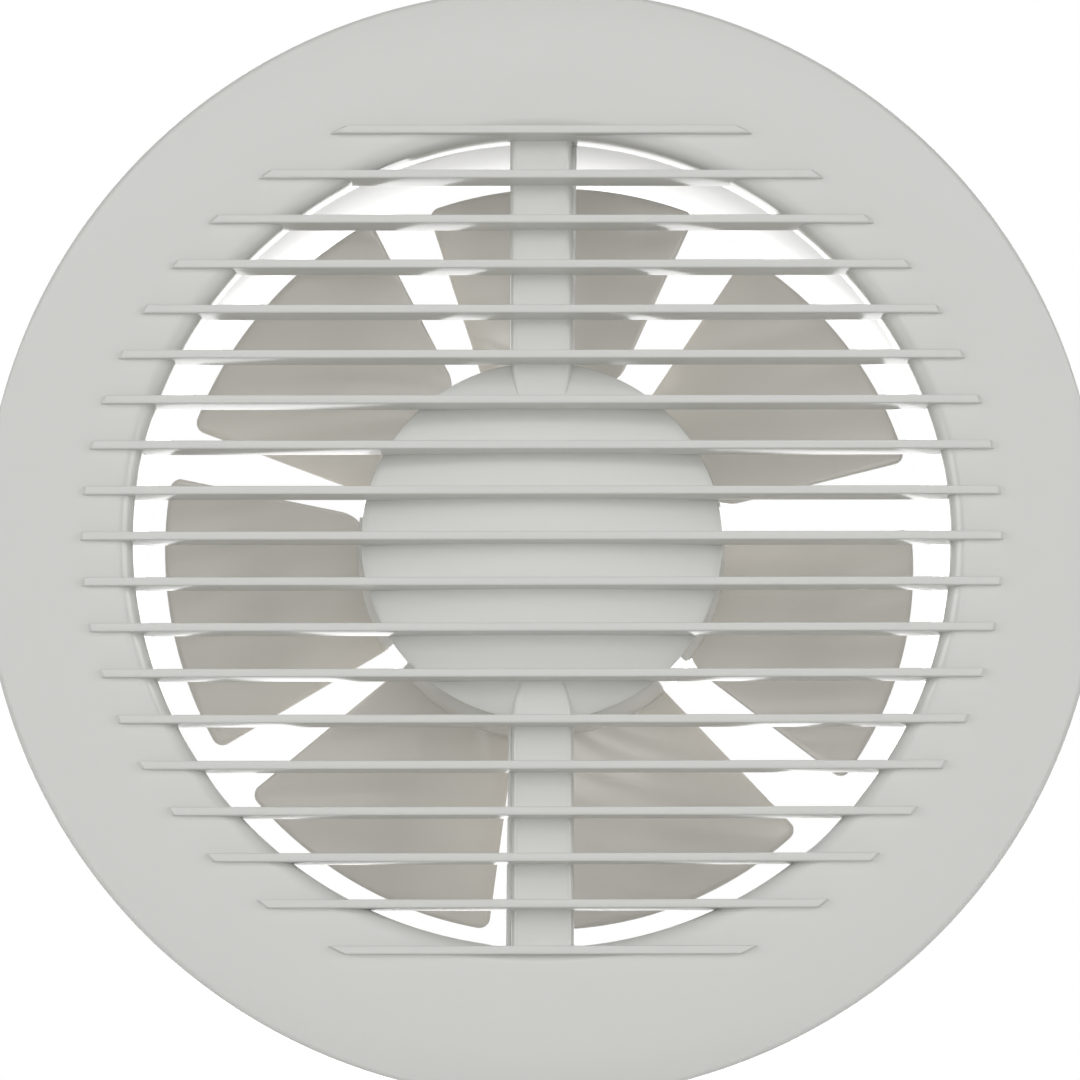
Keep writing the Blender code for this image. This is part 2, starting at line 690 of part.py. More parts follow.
def frame_outline(half, low, high, corner=0.0):
    """A rectangle centred in X, with its corners cut off where a size is given for them."""
    if not corner:
        return [(-half, low), (-half, high), (half, high), (half, low)]
    return [(-half, low + corner), (-half, high - corner), (-half + corner, high), (half - corner, high),
            (half, high - corner), (half, low + corner), (half - corner, low), (-half + corner, low)]


def pole_frames():
    return [around(TWIST + pole * 360 / POLE_COUNT) for pole in range(POLE_COUNT)]


def bobbin_hole():
    return frame_outline(POLE_HALF + GAP, CORE_FRONT - GAP, CORE_REAR + GAP)


def draw_bobbin_tube(mesh):
    outer = frame_outline(POLE_HALF + GAP + BOBBIN_WALL, CORE_FRONT - GAP - BOBBIN_WALL,
                          CORE_REAR + GAP + BOBBIN_WALL)
    extrude(mesh, [outer, bobbin_hole()], BOBBIN_LOW, BOBBIN_HIGH, Matrix())


def draw_bobbin_flanges(mesh):
    hole = frame_outline(POLE_HALF + GAP + 0.2, CORE_FRONT - GAP - 0.2, CORE_REAR + GAP + 0.2)
    flange = frame_outline(BOBBIN_HALF, CORE_FRONT - BOBBIN_OVERHANG, CORE_REAR + BOBBIN_OVERHANG,
                           BOBBIN_CORNER)
    extrude(mesh, [flange, hole], BOBBIN_LOW - 0.02, BOBBIN_LOW + BOBBIN_WALL, Matrix())
    extrude(mesh, [flange, hole], BOBBIN_HIGH - BOBBIN_WALL, BOBBIN_HIGH + 0.02, Matrix())


def draw_coil(mesh):
    inner = POLE_HALF + GAP + BOBBIN_WALL + GAP
    front = CORE_FRONT - 2 * GAP - BOBBIN_WALL
    rear = CORE_REAR + 2 * GAP + BOBBIN_WALL
    hole = frame_outline(inner, front, rear)
    outer = frame_outline(inner + COIL_BUILD, front - COIL_BUILD, rear + COIL_BUILD, COIL_CORNER)
    extrude(mesh, [outer, hole], BOBBIN_LOW + BOBBIN_WALL + GAP, BOBBIN_HIGH - BOBBIN_WALL - GAP, Matrix())


def draw_shield(mesh):
    rim = CUP_RADIUS - CUP_WALL - GAP
    front = SHIELD_FRONT - SHIELD_BOSS
    rear = front + SEAT_LIP + GAP + BEARING_LENGTH + GAP
    profile = [(SEAT_LIP_RADIUS, front), (BOSS_RADIUS, front), (BOSS_RADIUS, SHIELD_FRONT),
               (rim, SHIELD_FRONT), (rim, SHIELD_REAR), (BOSS_RADIUS, SHIELD_REAR), (BOSS_RADIUS, rear),
               (SEAT_RADIUS, rear),
               (SEAT_RADIUS, front + SEAT_LIP), (SEAT_LIP_RADIUS, front + SEAT_LIP)]
    turn(mesh, profile, MOTOR_SIDE_COUNT, around(TWIST))


def draw_shield_posts(mesh):
    for frame in tie_frames():
        disc(mesh, TIE_POST_RADIUS, SHIELD_REAR - 0.6, CORE_FRONT - GAP, SCREW_SIDE_COUNT, frame)


def draw_shield_holes(mesh):
    for frame in tie_frames():
        disc(mesh, TIE_SHANK + SCREW_PLAY, SHIELD_FRONT - 1, CORE_FRONT + 1, SCREW_SIDE_COUNT, frame)


def bearing_starts():
    """The front faces of the two bearings."""
    front = SHIELD_FRONT - SHIELD_BOSS + SEAT_LIP + GAP
    return front, NOSE_REAR - 0.1 - GAP - BEARING_LENGTH


def draw_bearing(mesh):
    bore = SHAFT_RADIUS + GAP
    rear = BEARING_LENGTH
    edge = BEARING_CHAMFER
    profile = [(bore, 0), (BEARING_RADIUS - edge, 0), (BEARING_RADIUS, edge),
               (BEARING_RADIUS, rear - edge), (BEARING_RADIUS - edge, rear), (bore, rear)]
    turn(mesh, profile, SMALL_SIDE_COUNT)


def draw_retainer(mesh):
    ring(mesh, RETAINER_INNER, RETAINER_OUTER, 0, RETAINER_THICKNESS, SMALL_SIDE_COUNT)


def retainer_starts():
    front, rear = bearing_starts()
    return front + BEARING_LENGTH + 2 * GAP, rear - 2 * GAP - RETAINER_THICKNESS


# Rotor

def draw_rotor_core(mesh):
    ring(mesh, SHAFT_RADIUS + GAP, ROTOR_RADIUS, CORE_FRONT, CORE_REAR, MOTOR_SIDE_COUNT)


def draw_end_ring(mesh):
    ring(mesh, END_RING_INNER, END_RING_OUTER, 0, END_RING_THICKNESS, SMALL_SIDE_COUNT)


def draw_washer(mesh):
    ring(mesh, SHAFT_RADIUS + GAP, WASHER_RADIUS, 0, WASHER_THICKNESS, SMALL_SIDE_COUNT)


def both_sides(thickness):
    """Where a ring of this thickness starts, in front of the rotor core and behind it."""
    return CORE_FRONT - GAP - thickness, CORE_REAR + GAP


def draw_shaft(mesh):
    profile = [(0, SHAFT_FRONT), (SHAFT_RADIUS - 0.4, SHAFT_FRONT), (SHAFT_RADIUS, SHAFT_FRONT + 0.4),
               (SHAFT_RADIUS, SHAFT_REAR - 0.4), (SHAFT_RADIUS - 0.4, SHAFT_REAR), (0, SHAFT_REAR)]
    turn(mesh, profile, SMALL_SIDE_COUNT)


def draw_hub(mesh):
    bore = SHAFT_RADIUS + GAP
    inner = HUB_RADIUS - HUB_WALL
    profile = [
        (inner, HUB_FRONT), (HUB_RADIUS, HUB_FRONT), (HUB_RADIUS + HUB_DRAFT, HUB_REAR), (inner, HUB_REAR),
        (inner, HUB_FLOOR_REAR), (HUB_BOSS_RADIUS, HUB_FLOOR_REAR), (HUB_BOSS_RADIUS, HUB_BOSS_REAR),
        (bore, HUB_BOSS_REAR), (bore, HUB_FLOOR_FRONT), (inner, HUB_FLOOR_FRONT)]
    turn(mesh, profile, MOTOR_SIDE_COUNT)


def blade_stations():
    """Angles across the blade with the tip's radius there, closer together at the rounded corners."""
    width = math.radians(BLADE_NEAR_ANGLE - BLADE_FAR_ANGLE) * BLADE_TIP
    steps = [0, BLADE_CORNER * 0.3, BLADE_CORNER]
    steps += [BLADE_CORNER + (width - 2 * BLADE_CORNER) * part / 4 for part in range(1, 4)]
    steps += [width - BLADE_CORNER, width - BLADE_CORNER * 0.3, width]
    stations = []
    for step in steps:
        edge = min(step, width - step, BLADE_CORNER)
        drop = BLADE_CORNER - math.sqrt(BLADE_CORNER ** 2 - (BLADE_CORNER - edge) ** 2)
        stations.append((step / width, BLADE_TIP - drop))
    return stations


def draw_blades(mesh):
    stations = blade_stations()
    rows = 2
    for blade in range(BLADE_COUNT):
        faces = []
        for offset in (-0.5, 0.5):
            grid = []
            for part, tip in stations:
                angle = BLADE_FAR_ANGLE + (BLADE_NEAR_ANGLE - BLADE_FAR_ANGLE) * part
                depth = BLADE_FAR_DEPTH + (BLADE_NEAR_DEPTH - BLADE_FAR_DEPTH) * part
                frame = around(angle + blade * 360 / BLADE_COUNT)
                line = []
                for row in range(rows + 1):
                    radius = BLADE_ROOT + (tip - BLADE_ROOT) * row / rows
                    line.append(mesh.verts.new(frame @ Vector((0, depth + offset * BLADE_THICKNESS, radius))))
                grid.append(line)
            faces.append(grid)
        front, rear = faces
        last = len(stations) - 1
        for grid in faces:
            for a, b in zip(grid, grid[1:]):
                for row in range(rows):
                    mesh.faces.new((a[row], a[row + 1], b[row + 1], b[row]))
        for column in range(last):
            for row in (0, rows):
                mesh.faces.new((front[column][row], front[column + 1][row],
                                rear[column + 1][row], rear[column][row]))
        for column in (0, last):
            for row in range(rows):
                mesh.faces.new((front[column][row], front[column][row + 1],
                                rear[column][row + 1], rear[column][row]))


def build_impeller(parent):
    impeller = solid("impeller", draw_hub)
    join(impeller, draw_blades)
    finish(impeller, paint("impeller_plastic", (0.50, 0.50, 0.47), 0.35), parent)


def draw_clip(mesh):
    front = HUB_BOSS_REAR + GAP
    ring(mesh, SHAFT_RADIUS + GAP, CLIP_RADIUS, front, front + CLIP_THICKNESS, SMALL_SIDE_COUNT)


# Supply side

def pole_offsets():
    return (-POLE_SPACING / 2, POLE_SPACING / 2)


def block_frame():
    return around(BLOCK_ANGLE, BLOCK_CIRCLE)


def block_front():
    return FLANGE_FRONT - GAP - BLOCK_HEIGHT


def draw_block(mesh):
    box(mesh, (-BLOCK_LENGTH / 2, BLOCK_LENGTH / 2), (block_front(), FLANGE_FRONT - GAP),
        (-BLOCK_WIDTH / 2, BLOCK_WIDTH / 2), block_frame())


def draw_block_recesses(mesh):
    for offset in pole_offsets():
        for side in (-1, 1):
            spot = block_frame() @ Matrix.Translation((side * TERMINAL_SPACING / 2, 0, offset))
            disc(mesh, TERMINAL_SCREW_HOLE, block_front() - 1, POLE_DEPTH, SCREW_SIDE_COUNT, spot)
    disc(mesh, SMALL_HEAD + GAP, block_front() - 1, FIXING_SEAT, SCREW_SIDE_COUNT, block_frame())


def draw_block_bores(mesh):
    along = block_frame() @ Matrix.Rotation(math.radians(-90), 4, 'Z')
    for offset in pole_offsets():
        for side in (-1, 1):
            hole = along @ Matrix.Translation((-POLE_DEPTH, 0, offset))
            ends = (side * BORE_START, side * (BLOCK_LENGTH / 2 + 1))
            disc(mesh, POLE_HOLE, min(ends), max(ends), SCREW_SIDE_COUNT, hole)
    disc(mesh, SMALL_SHANK + SCREW_PLAY, FIXING_SEAT - 1, FLANGE_FRONT + 1, SCREW_SIDE_COUNT, block_frame())


def draw_terminal_screw(mesh):
    length = POLE_DEPTH - POLE_HOLE - block_front() - TERMINAL_SCREW_SINK
    disc(mesh, TERMINAL_SCREW_HEAD, 0, length, SCREW_SIDE_COUNT)


def terminal_frames():
    frames = []
    for offset in pole_offsets():
        for side in (-1, 1):
            spot = Vector((side * TERMINAL_SPACING / 2, block_front() + TERMINAL_SCREW_SINK, offset))
            frames.append(block_frame() @ Matrix.Translation(spot))
    return frames


def draw_fixing_screw(mesh):
    screw(mesh, SMALL_HEAD, SMALL_HEAD_HEIGHT, SMALL_SHANK, FIXING_LENGTH)


def fixing_frames():
    clamp_top = CLAMP_POST_FRONT - GAP - CLAMP_THICKNESS
    clamp = [moved(frame, clamp_top - GAP) for frame in clamp_frames()]
    return [moved(block_frame(), FIXING_SEAT - GAP)] + clamp


def draw_clamp(mesh):
    half = CLAMP_SPACING / 2 + CLAMP_MARGIN
    rear = CLAMP_POST_FRONT - GAP
    outline = frame_outline(CLAMP_WIDTH / 2, -half, half, CLAMP_CORNER)
    pilot = SMALL_SHANK + SCREW_PLAY
    holes = [circle(pilot, SCREW_SIDE_COUNT, (0, side * CLAMP_SPACING / 2)) for side in (-1, 1)]
    extrude(mesh, [outline] + holes, rear - CLAMP_THICKNESS, rear, around(CLAMP_ANGLE, CLAMP_CIRCLE) @ FLAT)


def draw_grommet(mesh):
    neck = INLET_HOLE - GAP
    rear = FLANGE_FRONT - GAP
    front = rear - GROMMET_HEIGHT
    profile = [(GROMMET_BORE + 0.4, front), (GROMMET_COLLAR - 0.5, front),
               (GROMMET_COLLAR, front + 0.5), (GROMMET_COLLAR, rear), (neck, rear), (neck, -GAP),
               (GROMMET_BORE, -GAP), (GROMMET_BORE, front + 0.4)]
    turn(mesh, profile, SMALL_SIDE_COUNT, around(INLET_ANGLE, BLOCK_CIRCLE))


def smooth_path(points, spacing):
    """Points at an even spacing along a Catmull-Rom curve through the given points."""
    ends = [points[0] * 2 - points[1]] + points + [points[-1] * 2 - points[-2]]
    fine = []
    for a, b, c, d in zip(ends, ends[1:], ends[2:], ends[3:]):
        for step in range(16):
            t = step / 16
            fine.append(0.5 * (2 * b + (c - a) * t + (2 * a - 5 * b + 4 * c - d) * t ** 2
                               + (3 * b - a - 3 * c + d) * t ** 3))
    fine.append(points[-1])
    total = sum((b - a).length for a, b in zip(fine, fine[1:]))
    count = round(total / spacing)
    path = [fine[0]]
    walked = 0.0
    for a, b in zip(fine, fine[1:]):
        walked += (b - a).length
        if walked >= total * len(path) / count - 1e-9 and len(path) < count:
            path.append(b)
    return path + [fine[-1]]


def lead(name, pole, side, bend, material, parent):
    """A wire from the terminal block through the notch and down the arm's channel to the coils."""
    frame = block_frame() @ Matrix.Translation((0, POLE_DEPTH, pole))
    twisted = around(TWIST)
    points = [frame @ Vector((3.4, 0, 0)), frame @ Vector((9.0, 0, 0))]
    points += [Vector((x, depth, BLOCK_CIRCLE + height)) for x, depth, height in bend]
    x = side * WIRE_HALF_SPACING
    for depth, drop in ((-3.85, -3.75), (-3.75, -1.15), (-2.6, 2.05), (-0.9, 5.95)):
        points.append(twisted @ Vector((x, depth, OPENING_RADIUS - drop)))
    bottom = BOBBIN_HIGH + 1.5
    top = OPENING_RADIUS - 10.45
    for step in range(5):
        points.append(twisted @ Vector((x, WIRE_DEPTH, top + (bottom - top) * step / 4)))
    curve = bpy.data.curves.new(name, 'CURVE')
    curve.dimensions = '3D'
    curve.bevel_depth = WIRE_RADIUS * MM
    curve.bevel_resolution = 2
    curve.use_fill_caps = True
    path = smooth_path(points, WIRE_SPACING)
    line = curve.splines.new('POLY')
    line.points.add(len(path) - 1)
    for spot, point in zip(line.points, path):
        spot.co = (*(point * MM), 1.0)
    item = bpy.data.objects.new(name, curve)
    bpy.context.scene.collection.objects.link(item)
    curve.materials.append(material)
    item.parent = parent


def build_leads(parent):
    low, high = pole_offsets()
    lead("lead_live", low, -1, [(-8.6, -4.6, -2.3), (-3.4, -4.2, -4.3), (-0.9, -3.95, -7.3)],
         paint("lead_live_sheath", (0.16, 0.05, 0.02), 0.45), parent)
    lead("lead_neutral", high, 1, [(-8.0, -4.6, 1.9), (-0.6, -4.2, -0.5), (2.2, -3.95, -5.3)],
         paint("lead_neutral_sheath", (0.03, 0.10, 0.35), 0.45), parent)


def empty(name):
    item = bpy.data.objects.new(name, None)
    item.empty_display_size = 0.02
    bpy.context.scene.collection.objects.link(item)
    return item


def along_axis(depths):
    return [Matrix.Translation((0, depth, 0)) for depth in depths]


def build_stator(base):
    finish(solid("stator_core", draw_stator), paint("stator_steel", (0.30, 0.30, 0.31), 0.45, 0.9), base)
    bobbin = solid("coil_bobbin_1", draw_bobbin_tube)
    join(bobbin, draw_bobbin_flanges)
    nylon = paint("bobbin_nylon", (0.75, 0.74, 0.68), 0.4)
    copies_of(bobbin, "coil_bobbin", pole_frames(), nylon, base)
    copper = paint("coil_copper", (0.45, 0.16, 0.06), 0.3, 0.8)
    copies("stator_coil", draw_coil, pole_frames(), copper, base)


def build_bearings(base):
    front, rear = bearing_starts()
    steel = (0.42, 0.42, 0.43)
    shield = solid("front_end_shield", draw_shield)
    join(shield, draw_shield_posts)
    cut(shield, draw_shield_holes)
    finish(shield, paint("end_shield_zinc", (0.55, 0.56, 0.57), 0.35, 0.9), base)
    bronze = paint("bearing_bronze", (0.42, 0.27, 0.12), 0.4, 0.9)
    copies("shaft_bearing", draw_bearing, along_axis((front, rear)), bronze, base)
    copies("bearing_retainer", draw_retainer, along_axis(retainer_starts()),
           paint("retainer_steel", steel, 0.3, 1.0), base)
    seats = [moved(frame, SHIELD_FRONT - GAP) for frame in tie_frames()]
    copies("motor_tie_screw", draw_tie_screw, seats, paint("tie_screw_steel", steel, 0.3, 1.0), base)


def build_rotor(rotor):
    finish(solid("rotor_core", draw_rotor_core), paint("rotor_steel", (0.33, 0.33, 0.34), 0.4, 0.9), rotor)
    copies("rotor_end_ring", draw_end_ring, along_axis(both_sides(END_RING_THICKNESS)),
           paint("end_ring_aluminium", (0.7, 0.7, 0.7), 0.35, 1.0), rotor)
    finish(solid("rotor_shaft", draw_shaft), paint("shaft_steel", (0.6, 0.6, 0.6), 0.18, 1.0), rotor)
    copies("thrust_washer", draw_washer, along_axis(both_sides(WASHER_THICKNESS)),
           paint("washer_nylon", (0.7, 0.68, 0.6), 0.45), rotor)
    finish(solid("impeller_clip", draw_clip), paint("clip_steel", (0.42, 0.42, 0.43), 0.25, 1.0), rotor)


def build_supply(base):
    block = solid("terminal_block", draw_block)
    cut(block, draw_block_recesses, draw_block_bores)
    finish(block, paint("terminal_block_nylon", (0.72, 0.71, 0.66), 0.4), base)
    brass = paint("terminal_brass", (0.62, 0.43, 0.16), 0.3, 1.0)
    copies("terminal_screw", draw_terminal_screw, terminal_frames(), brass, base)
    steel = paint("fixing_screw_steel", (0.5, 0.5, 0.5), 0.3, 1.0)
    copies("fixing_screw", draw_fixing_screw, fixing_frames(), steel, base)
    finish(solid("cable_clamp", draw_clamp), paint("cable_clamp_plastic", (0.65, 0.65, 0.62), 0.4), base)
    finish(solid("cable_grommet", draw_grommet), paint("grommet_rubber", (0.03, 0.03, 0.03), 0.6), base)
    build_leads(base)


def build():
    clear_scene()
    base = empty("base")
    cover_slide = empty("cover_slide")
    rotor_axis = empty("rotor_axis")
    cover_slide.parent = base
    rotor_axis.parent = base
    build_cover(cover_slide)
    build_housing(base)
    build_bracket(base)
    build_bracket_screws(base)
    build_stator(base)
    build_bearings(base)
    build_rotor(rotor_axis)
    build_impeller(rotor_axis)
    build_supply(base)


build()
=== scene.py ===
# Bathroom exhaust fan: looks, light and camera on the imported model.
import math

import bmesh
import bpy
from mathutils import Matrix, Vector


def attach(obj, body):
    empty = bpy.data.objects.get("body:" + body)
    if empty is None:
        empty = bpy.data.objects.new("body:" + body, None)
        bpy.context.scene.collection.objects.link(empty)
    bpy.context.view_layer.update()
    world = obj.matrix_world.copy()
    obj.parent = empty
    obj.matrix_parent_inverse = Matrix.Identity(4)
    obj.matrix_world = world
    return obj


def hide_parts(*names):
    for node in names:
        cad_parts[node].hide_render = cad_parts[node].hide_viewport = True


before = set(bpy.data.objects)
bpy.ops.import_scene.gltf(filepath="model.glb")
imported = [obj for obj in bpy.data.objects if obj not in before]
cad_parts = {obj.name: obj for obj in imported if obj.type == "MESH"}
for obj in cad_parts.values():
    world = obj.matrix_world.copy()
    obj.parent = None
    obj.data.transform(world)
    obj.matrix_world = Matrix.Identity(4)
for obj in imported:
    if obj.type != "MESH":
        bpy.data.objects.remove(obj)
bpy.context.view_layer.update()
mm = 0.001  # the object's sizes are in millimetres, from the axis and the wall's surface


# Mesh tools

def around(angle, radius=0.0, depth=0.0):  # degrees clockwise from the top, seen from the room
    turn = Matrix.Rotation(math.radians(angle), 4, "Y")
    return turn @ Matrix.Translation((0, depth, radius))


def softCorners(corners, steps=4):  # rounds each (x, y, radius) corner of a closed outline
    points = []
    count = len(corners)
    for index, (x, y, radius) in enumerate(corners):
        here = Vector((x, y))
        if radius <= 0:
            points.append((x, y))
            continue
        back = Vector(corners[index - 1][:2]) - here
        ahead = Vector(corners[(index + 1) % count][:2]) - here
        half = back.angle(ahead) / 2
        reach = min(radius / math.tan(half), 0.49 * back.length, 0.49 * ahead.length)
        size = reach * math.tan(half)
        back.normalize()
        ahead.normalize()
        centre = here + (back + ahead).normalized() * (size / math.sin(half))
        first = here + back * reach - centre
        last = here + ahead * reach - centre
        sweep = math.atan2(first.x * last.y - first.y * last.x, first.dot(last))
        for step in range(steps + 1):
            turn = sweep * step / steps
            points.append((centre.x + first.x * math.cos(turn) - first.y * math.sin(turn),
                           centre.y + first.x * math.sin(turn) + first.y * math.cos(turn)))
    return points


def addTurned(drawing, profile, sides, place=Matrix()):  # closed (radius, depth) profile about the Y axis
    loops = []
    for radius, depth in profile:
        if not callable(radius) and radius < 1e-6:
            loops.append([drawing.verts.new(place @ Vector((0, depth, 0)))])
            continue
        loop = []
        for side in range(sides):
            angle = 2 * math.pi * side / sides
            reach = radius(side / sides) if callable(radius) else radius  # a thread changes round the axis
            point = Vector((reach * math.sin(angle), depth, reach * math.cos(angle)))
            loop.append(drawing.verts.new(place @ point))
        loops.append(loop)
    for first, second in zip(loops, loops[1:] + loops[:1]):
        if len(first) == 1 and len(second) == 1:
            continue
        for side in range(sides):
            after = (side + 1) % sides
            corners = [first[side % len(first)], first[after % len(first)],
                       second[after % len(second)], second[side % len(second)]]
            drawing.faces.new(list(dict.fromkeys(corners)))


def addRing(drawing, size, rounds, sides, place=Matrix(), taper=0.0):  # a tube, or a pin where inner is 0
    inner, outer, front, rear = (size[key] for key in ("inner", "outer", "front", "rear"))
    corners = ((inner, front), (outer, front), (outer + taper, rear), (inner, rear))
    profile = [corner + (soft,) for corner, soft in zip(corners, rounds)]
    addTurned(drawing, softCorners(profile), sides, place)


def addLoft(drawing, sections):  # closed solid through loops of equally many points
    loops = [[drawing.verts.new(point) for point in section] for section in sections]
    count = len(loops[0])
    for first, second in zip(loops, loops[1:]):
        for side in range(count):
            after = (side + 1) % count
            drawing.faces.new((first[side], first[after], second[after], second[side]))
    for loop in (loops[0], loops[-1]):
        drawing.faces.new(loop)


def addPlate(drawing, outlines, front, rear, place=Matrix()):  # flat plate with holes, drawn in X and Z
    edges = []
    for outline in outlines:
        loop = [drawing.verts.new((x, front, z)) for x, z in outline]
        edges += [drawing.edges.new((a, b)) for a, b in zip(loop, loop[1:] + loop[:1])]
    filled = bmesh.ops.triangle_fill(drawing, use_beauty=True, edges=edges)
    base = [item for item in filled["geom"] if isinstance(item, bmesh.types.BMFace)]
    lower = {vert for face in base for vert in face.verts}
    grown = bmesh.ops.extrude_face_region(drawing, geom=base, use_keep_orig=True)
    upper = {item for item in grown["geom"] if isinstance(item, bmesh.types.BMVert)}
    for vert in upper:
        vert.co.y = rear
    bmesh.ops.transform(drawing, matrix=place, verts=list(lower | upper))


def addBar(drawing, size, place=Matrix()):  # a square bar along the fan's axis
    half, low, high = size["half"], size["low"], size["high"]
    outline = [(-half, low), (half, low), (half, high), (-half, high)]
    addPlate(drawing, [outline], size["front"], size["rear"], place)


def channel(half, inside, depths, rounds, steps=4):  # a U whose feet, back and floor have these depths
    foot, back, floor = zip(depths, rounds)
    return softCorners([(-half, *foot), (-half, *back), (half, *back), (half, *foot), (inside, *foot),
                        (inside, *floor), (-inside, *floor), (-inside, *foot)], steps)


def section(outline, level, place):  # an outline in X and Y, set at one level
    return [place @ Vector((x, y, level)) for x, y in outline]


def roundedBar(half, high, radius, steps=4):
    return softCorners([(-half, -high, radius), (half, -high, radius), (half, high, radius),
                        (-half, high, radius)], steps)


def circle(radius, sides, x=0.0, z=0.0):
    angles = [2 * math.pi * side / sides for side in range(sides)]
    return [(x + radius * math.sin(angle), z + radius * math.cos(angle)) for angle in angles]


def addObject(name, data):
    item = bpy.data.objects.new(name, data)
    bpy.context.scene.collection.objects.link(item)
    return item


def smoothed(mesh, sharp):  # smooth but for edges sharper than this many degrees
    mesh.shade_smooth()
    mesh.set_sharp_from_angle(angle=math.radians(sharp))
    return mesh


def makeObject(name, draw, *values, sharp=32):
    drawing = bmesh.new()
    draw(drawing, *values)
    bmesh.ops.scale(drawing, vec=(mm, mm, mm), verts=drawing.verts)
    bmesh.ops.recalc_face_normals(drawing, faces=drawing.faces)
    mesh = bpy.data.meshes.new(name)
    drawing.to_mesh(mesh)
    drawing.free()
    return addObject(name, smoothed(mesh, sharp))


def applied(item, sharp):  # turns the modified object into a plain mesh
    graph = bpy.context.evaluated_depsgraph_get()
    mesh = bpy.data.meshes.new_from_object(item.evaluated_get(graph))
    item.modifiers.clear()
    item.data = smoothed(mesh, sharp)
    return item


def carve(item, draw, *values, sharp=32):
    tool = makeObject("tool", draw, *values)
    change = item.modifiers.new("carve", "BOOLEAN")
    change.operation = "DIFFERENCE"
    change.solver = "EXACT"
    change.object = tool
    applied(item, sharp)
    bpy.data.objects.remove(tool, do_unlink=True)
    return item


# Node tools

class Nodes:  # short hand for adding nodes to a tree
    def __init__(self, tree):
        self.nodes = tree.nodes
        self.links = tree.links

    def node(self, kind, values=None, **settings):
        made = self.nodes.new(kind)
        for key, value in settings.items():
            setattr(made, key, value)
        for key, value in (values or {}).items():
            if isinstance(value, bpy.types.NodeSocket):
                self.links.new(value, made.inputs[key])
            else:
                made.inputs[key].default_value = value
        return made

    def math(self, operation, *values):
        return self.node("ShaderNodeMath", dict(enumerate(values)), operation=operation).outputs[0]

    def link(self, start, end):
        self.links.new(start, end)


class Tree(Nodes):  # a node group with named inputs and outputs
    def __init__(self, name, kind="GeometryNodeTree"):
        self.group = bpy.data.node_groups.new(name, kind)
        super().__init__(self.group)

    def take(self, name, kind, value=None):
        socket = self.group.interface.new_socket(name, in_out="INPUT", socket_type=kind)
        if value is not None:
            socket.default_value = value

    def give(self, name, kind):
        self.group.interface.new_socket(name, in_out="OUTPUT", socket_type=kind)

    def ends(self):
        return self.node("NodeGroupInput").outputs, self.node("NodeGroupOutput").inputs


class ShapeTree(Tree):  # takes a shape, a material and the named values, and gives real geometry
    kinds = {float: "NodeSocketFloat", int: "NodeSocketInt", type(None): "NodeSocketObject"}

    def __init__(self, name, **values):
        super().__init__(name)
        self.take("Geometry", "NodeSocketGeometry")
        for key, value in values.items():
            self.take(key, self.kinds[type(value)], value)
        self.take("Material", "NodeSocketMaterial")
        self.give("Geometry", "NodeSocketGeometry")
        self.inputs, self.outputs = self.ends()

    def copies(self, points, instance, **values):
        placed = self.node("GeometryNodeInstanceOnPoints", {"Points": points, "Instance": instance, **values})
        return self.node("GeometryNodeRealizeInstances", {"Geometry": placed.outputs[0]}).outputs[0]

    def coat(self, geometry):
        material = self.inputs["Material"]
        coated = self.node("GeometryNodeSetMaterial", {"Geometry": geometry, "Material": material})
        self.link(coated.outputs[0], self.outputs[0])
        return self


def runTree(item, tree, settings, sharp):
    change = item.modifiers.new("build", "NODES")
    change.node_group = tree.group
    sockets = {socket.name: socket.identifier for socket in tree.group.interface.items_tree
               if socket.item_type == "SOCKET" and socket.in_out == "INPUT"}
    for name, value in settings.items():
        change[sockets[name]] = value
    applied(item, sharp)
    return item


# Materials

def grainGroup():  # fine moulded texture: a height and a slow variation
    tree = Tree("mouldedGrain", "ShaderNodeTree")
    tree.take("Scale", "NodeSocketFloat", 2500.0)
    tree.take("Cloud Scale", "NodeSocketFloat", 30.0)
    tree.give("Height", "NodeSocketFloat")
    tree.give("Cloud", "NodeSocketFloat")
    inputs, outputs = tree.ends()
    place = tree.node("ShaderNodeTexCoord").outputs["Object"]
    fine = tree.node("ShaderNodeTexNoise", {"Vector": place, "Scale": inputs["Scale"], "Detail": 3.0,
                                            "Roughness": 0.55})
    slow = tree.node("ShaderNodeTexNoise", {"Vector": place, "Scale": inputs["Cloud Scale"], "Detail": 4.0})
    tree.link(fine.outputs["Fac"], outputs["Height"])
    tree.link(slow.outputs["Fac"], outputs["Cloud"])
    return tree.group


def maskGroup(name, amount, source, reach, scale, detail, roughness, patches):
    # where a measure of the surface lies within reach, in uneven patches
    tree = Tree(name, "ShaderNodeTree")
    tree.take("Amount", "NodeSocketFloat", amount)
    tree.give("Mask", "NodeSocketFloat")
    inputs, outputs = tree.ends()
    place = tree.node("ShaderNodeTexCoord").outputs["Object"]
    shape = tree.node("ShaderNodeNewGeometry")
    measure = shape.outputs["Pointiness"]
    if source == "up":
        measure = tree.node("ShaderNodeSeparateXYZ", {"Vector": shape.outputs["Normal"]}).outputs["Z"]
    found = tree.node("ShaderNodeMapRange", {"Value": measure, "From Min": reach[0], "From Max": reach[1]})
    noise = tree.node("ShaderNodeTexNoise", {"Vector": place, "Scale": scale, "Detail": detail,
                                             "Roughness": roughness})
    broken = tree.node("ShaderNodeMapRange", {"Value": noise.outputs["Fac"], "From Min": patches[0],
                                              "From Max": patches[1]})
    mask = tree.math("MULTIPLY", found.outputs["Result"], broken.outputs["Result"])
    tree.link(tree.math("MULTIPLY", mask, inputs["Amount"]), outputs["Mask"])
    return tree.group


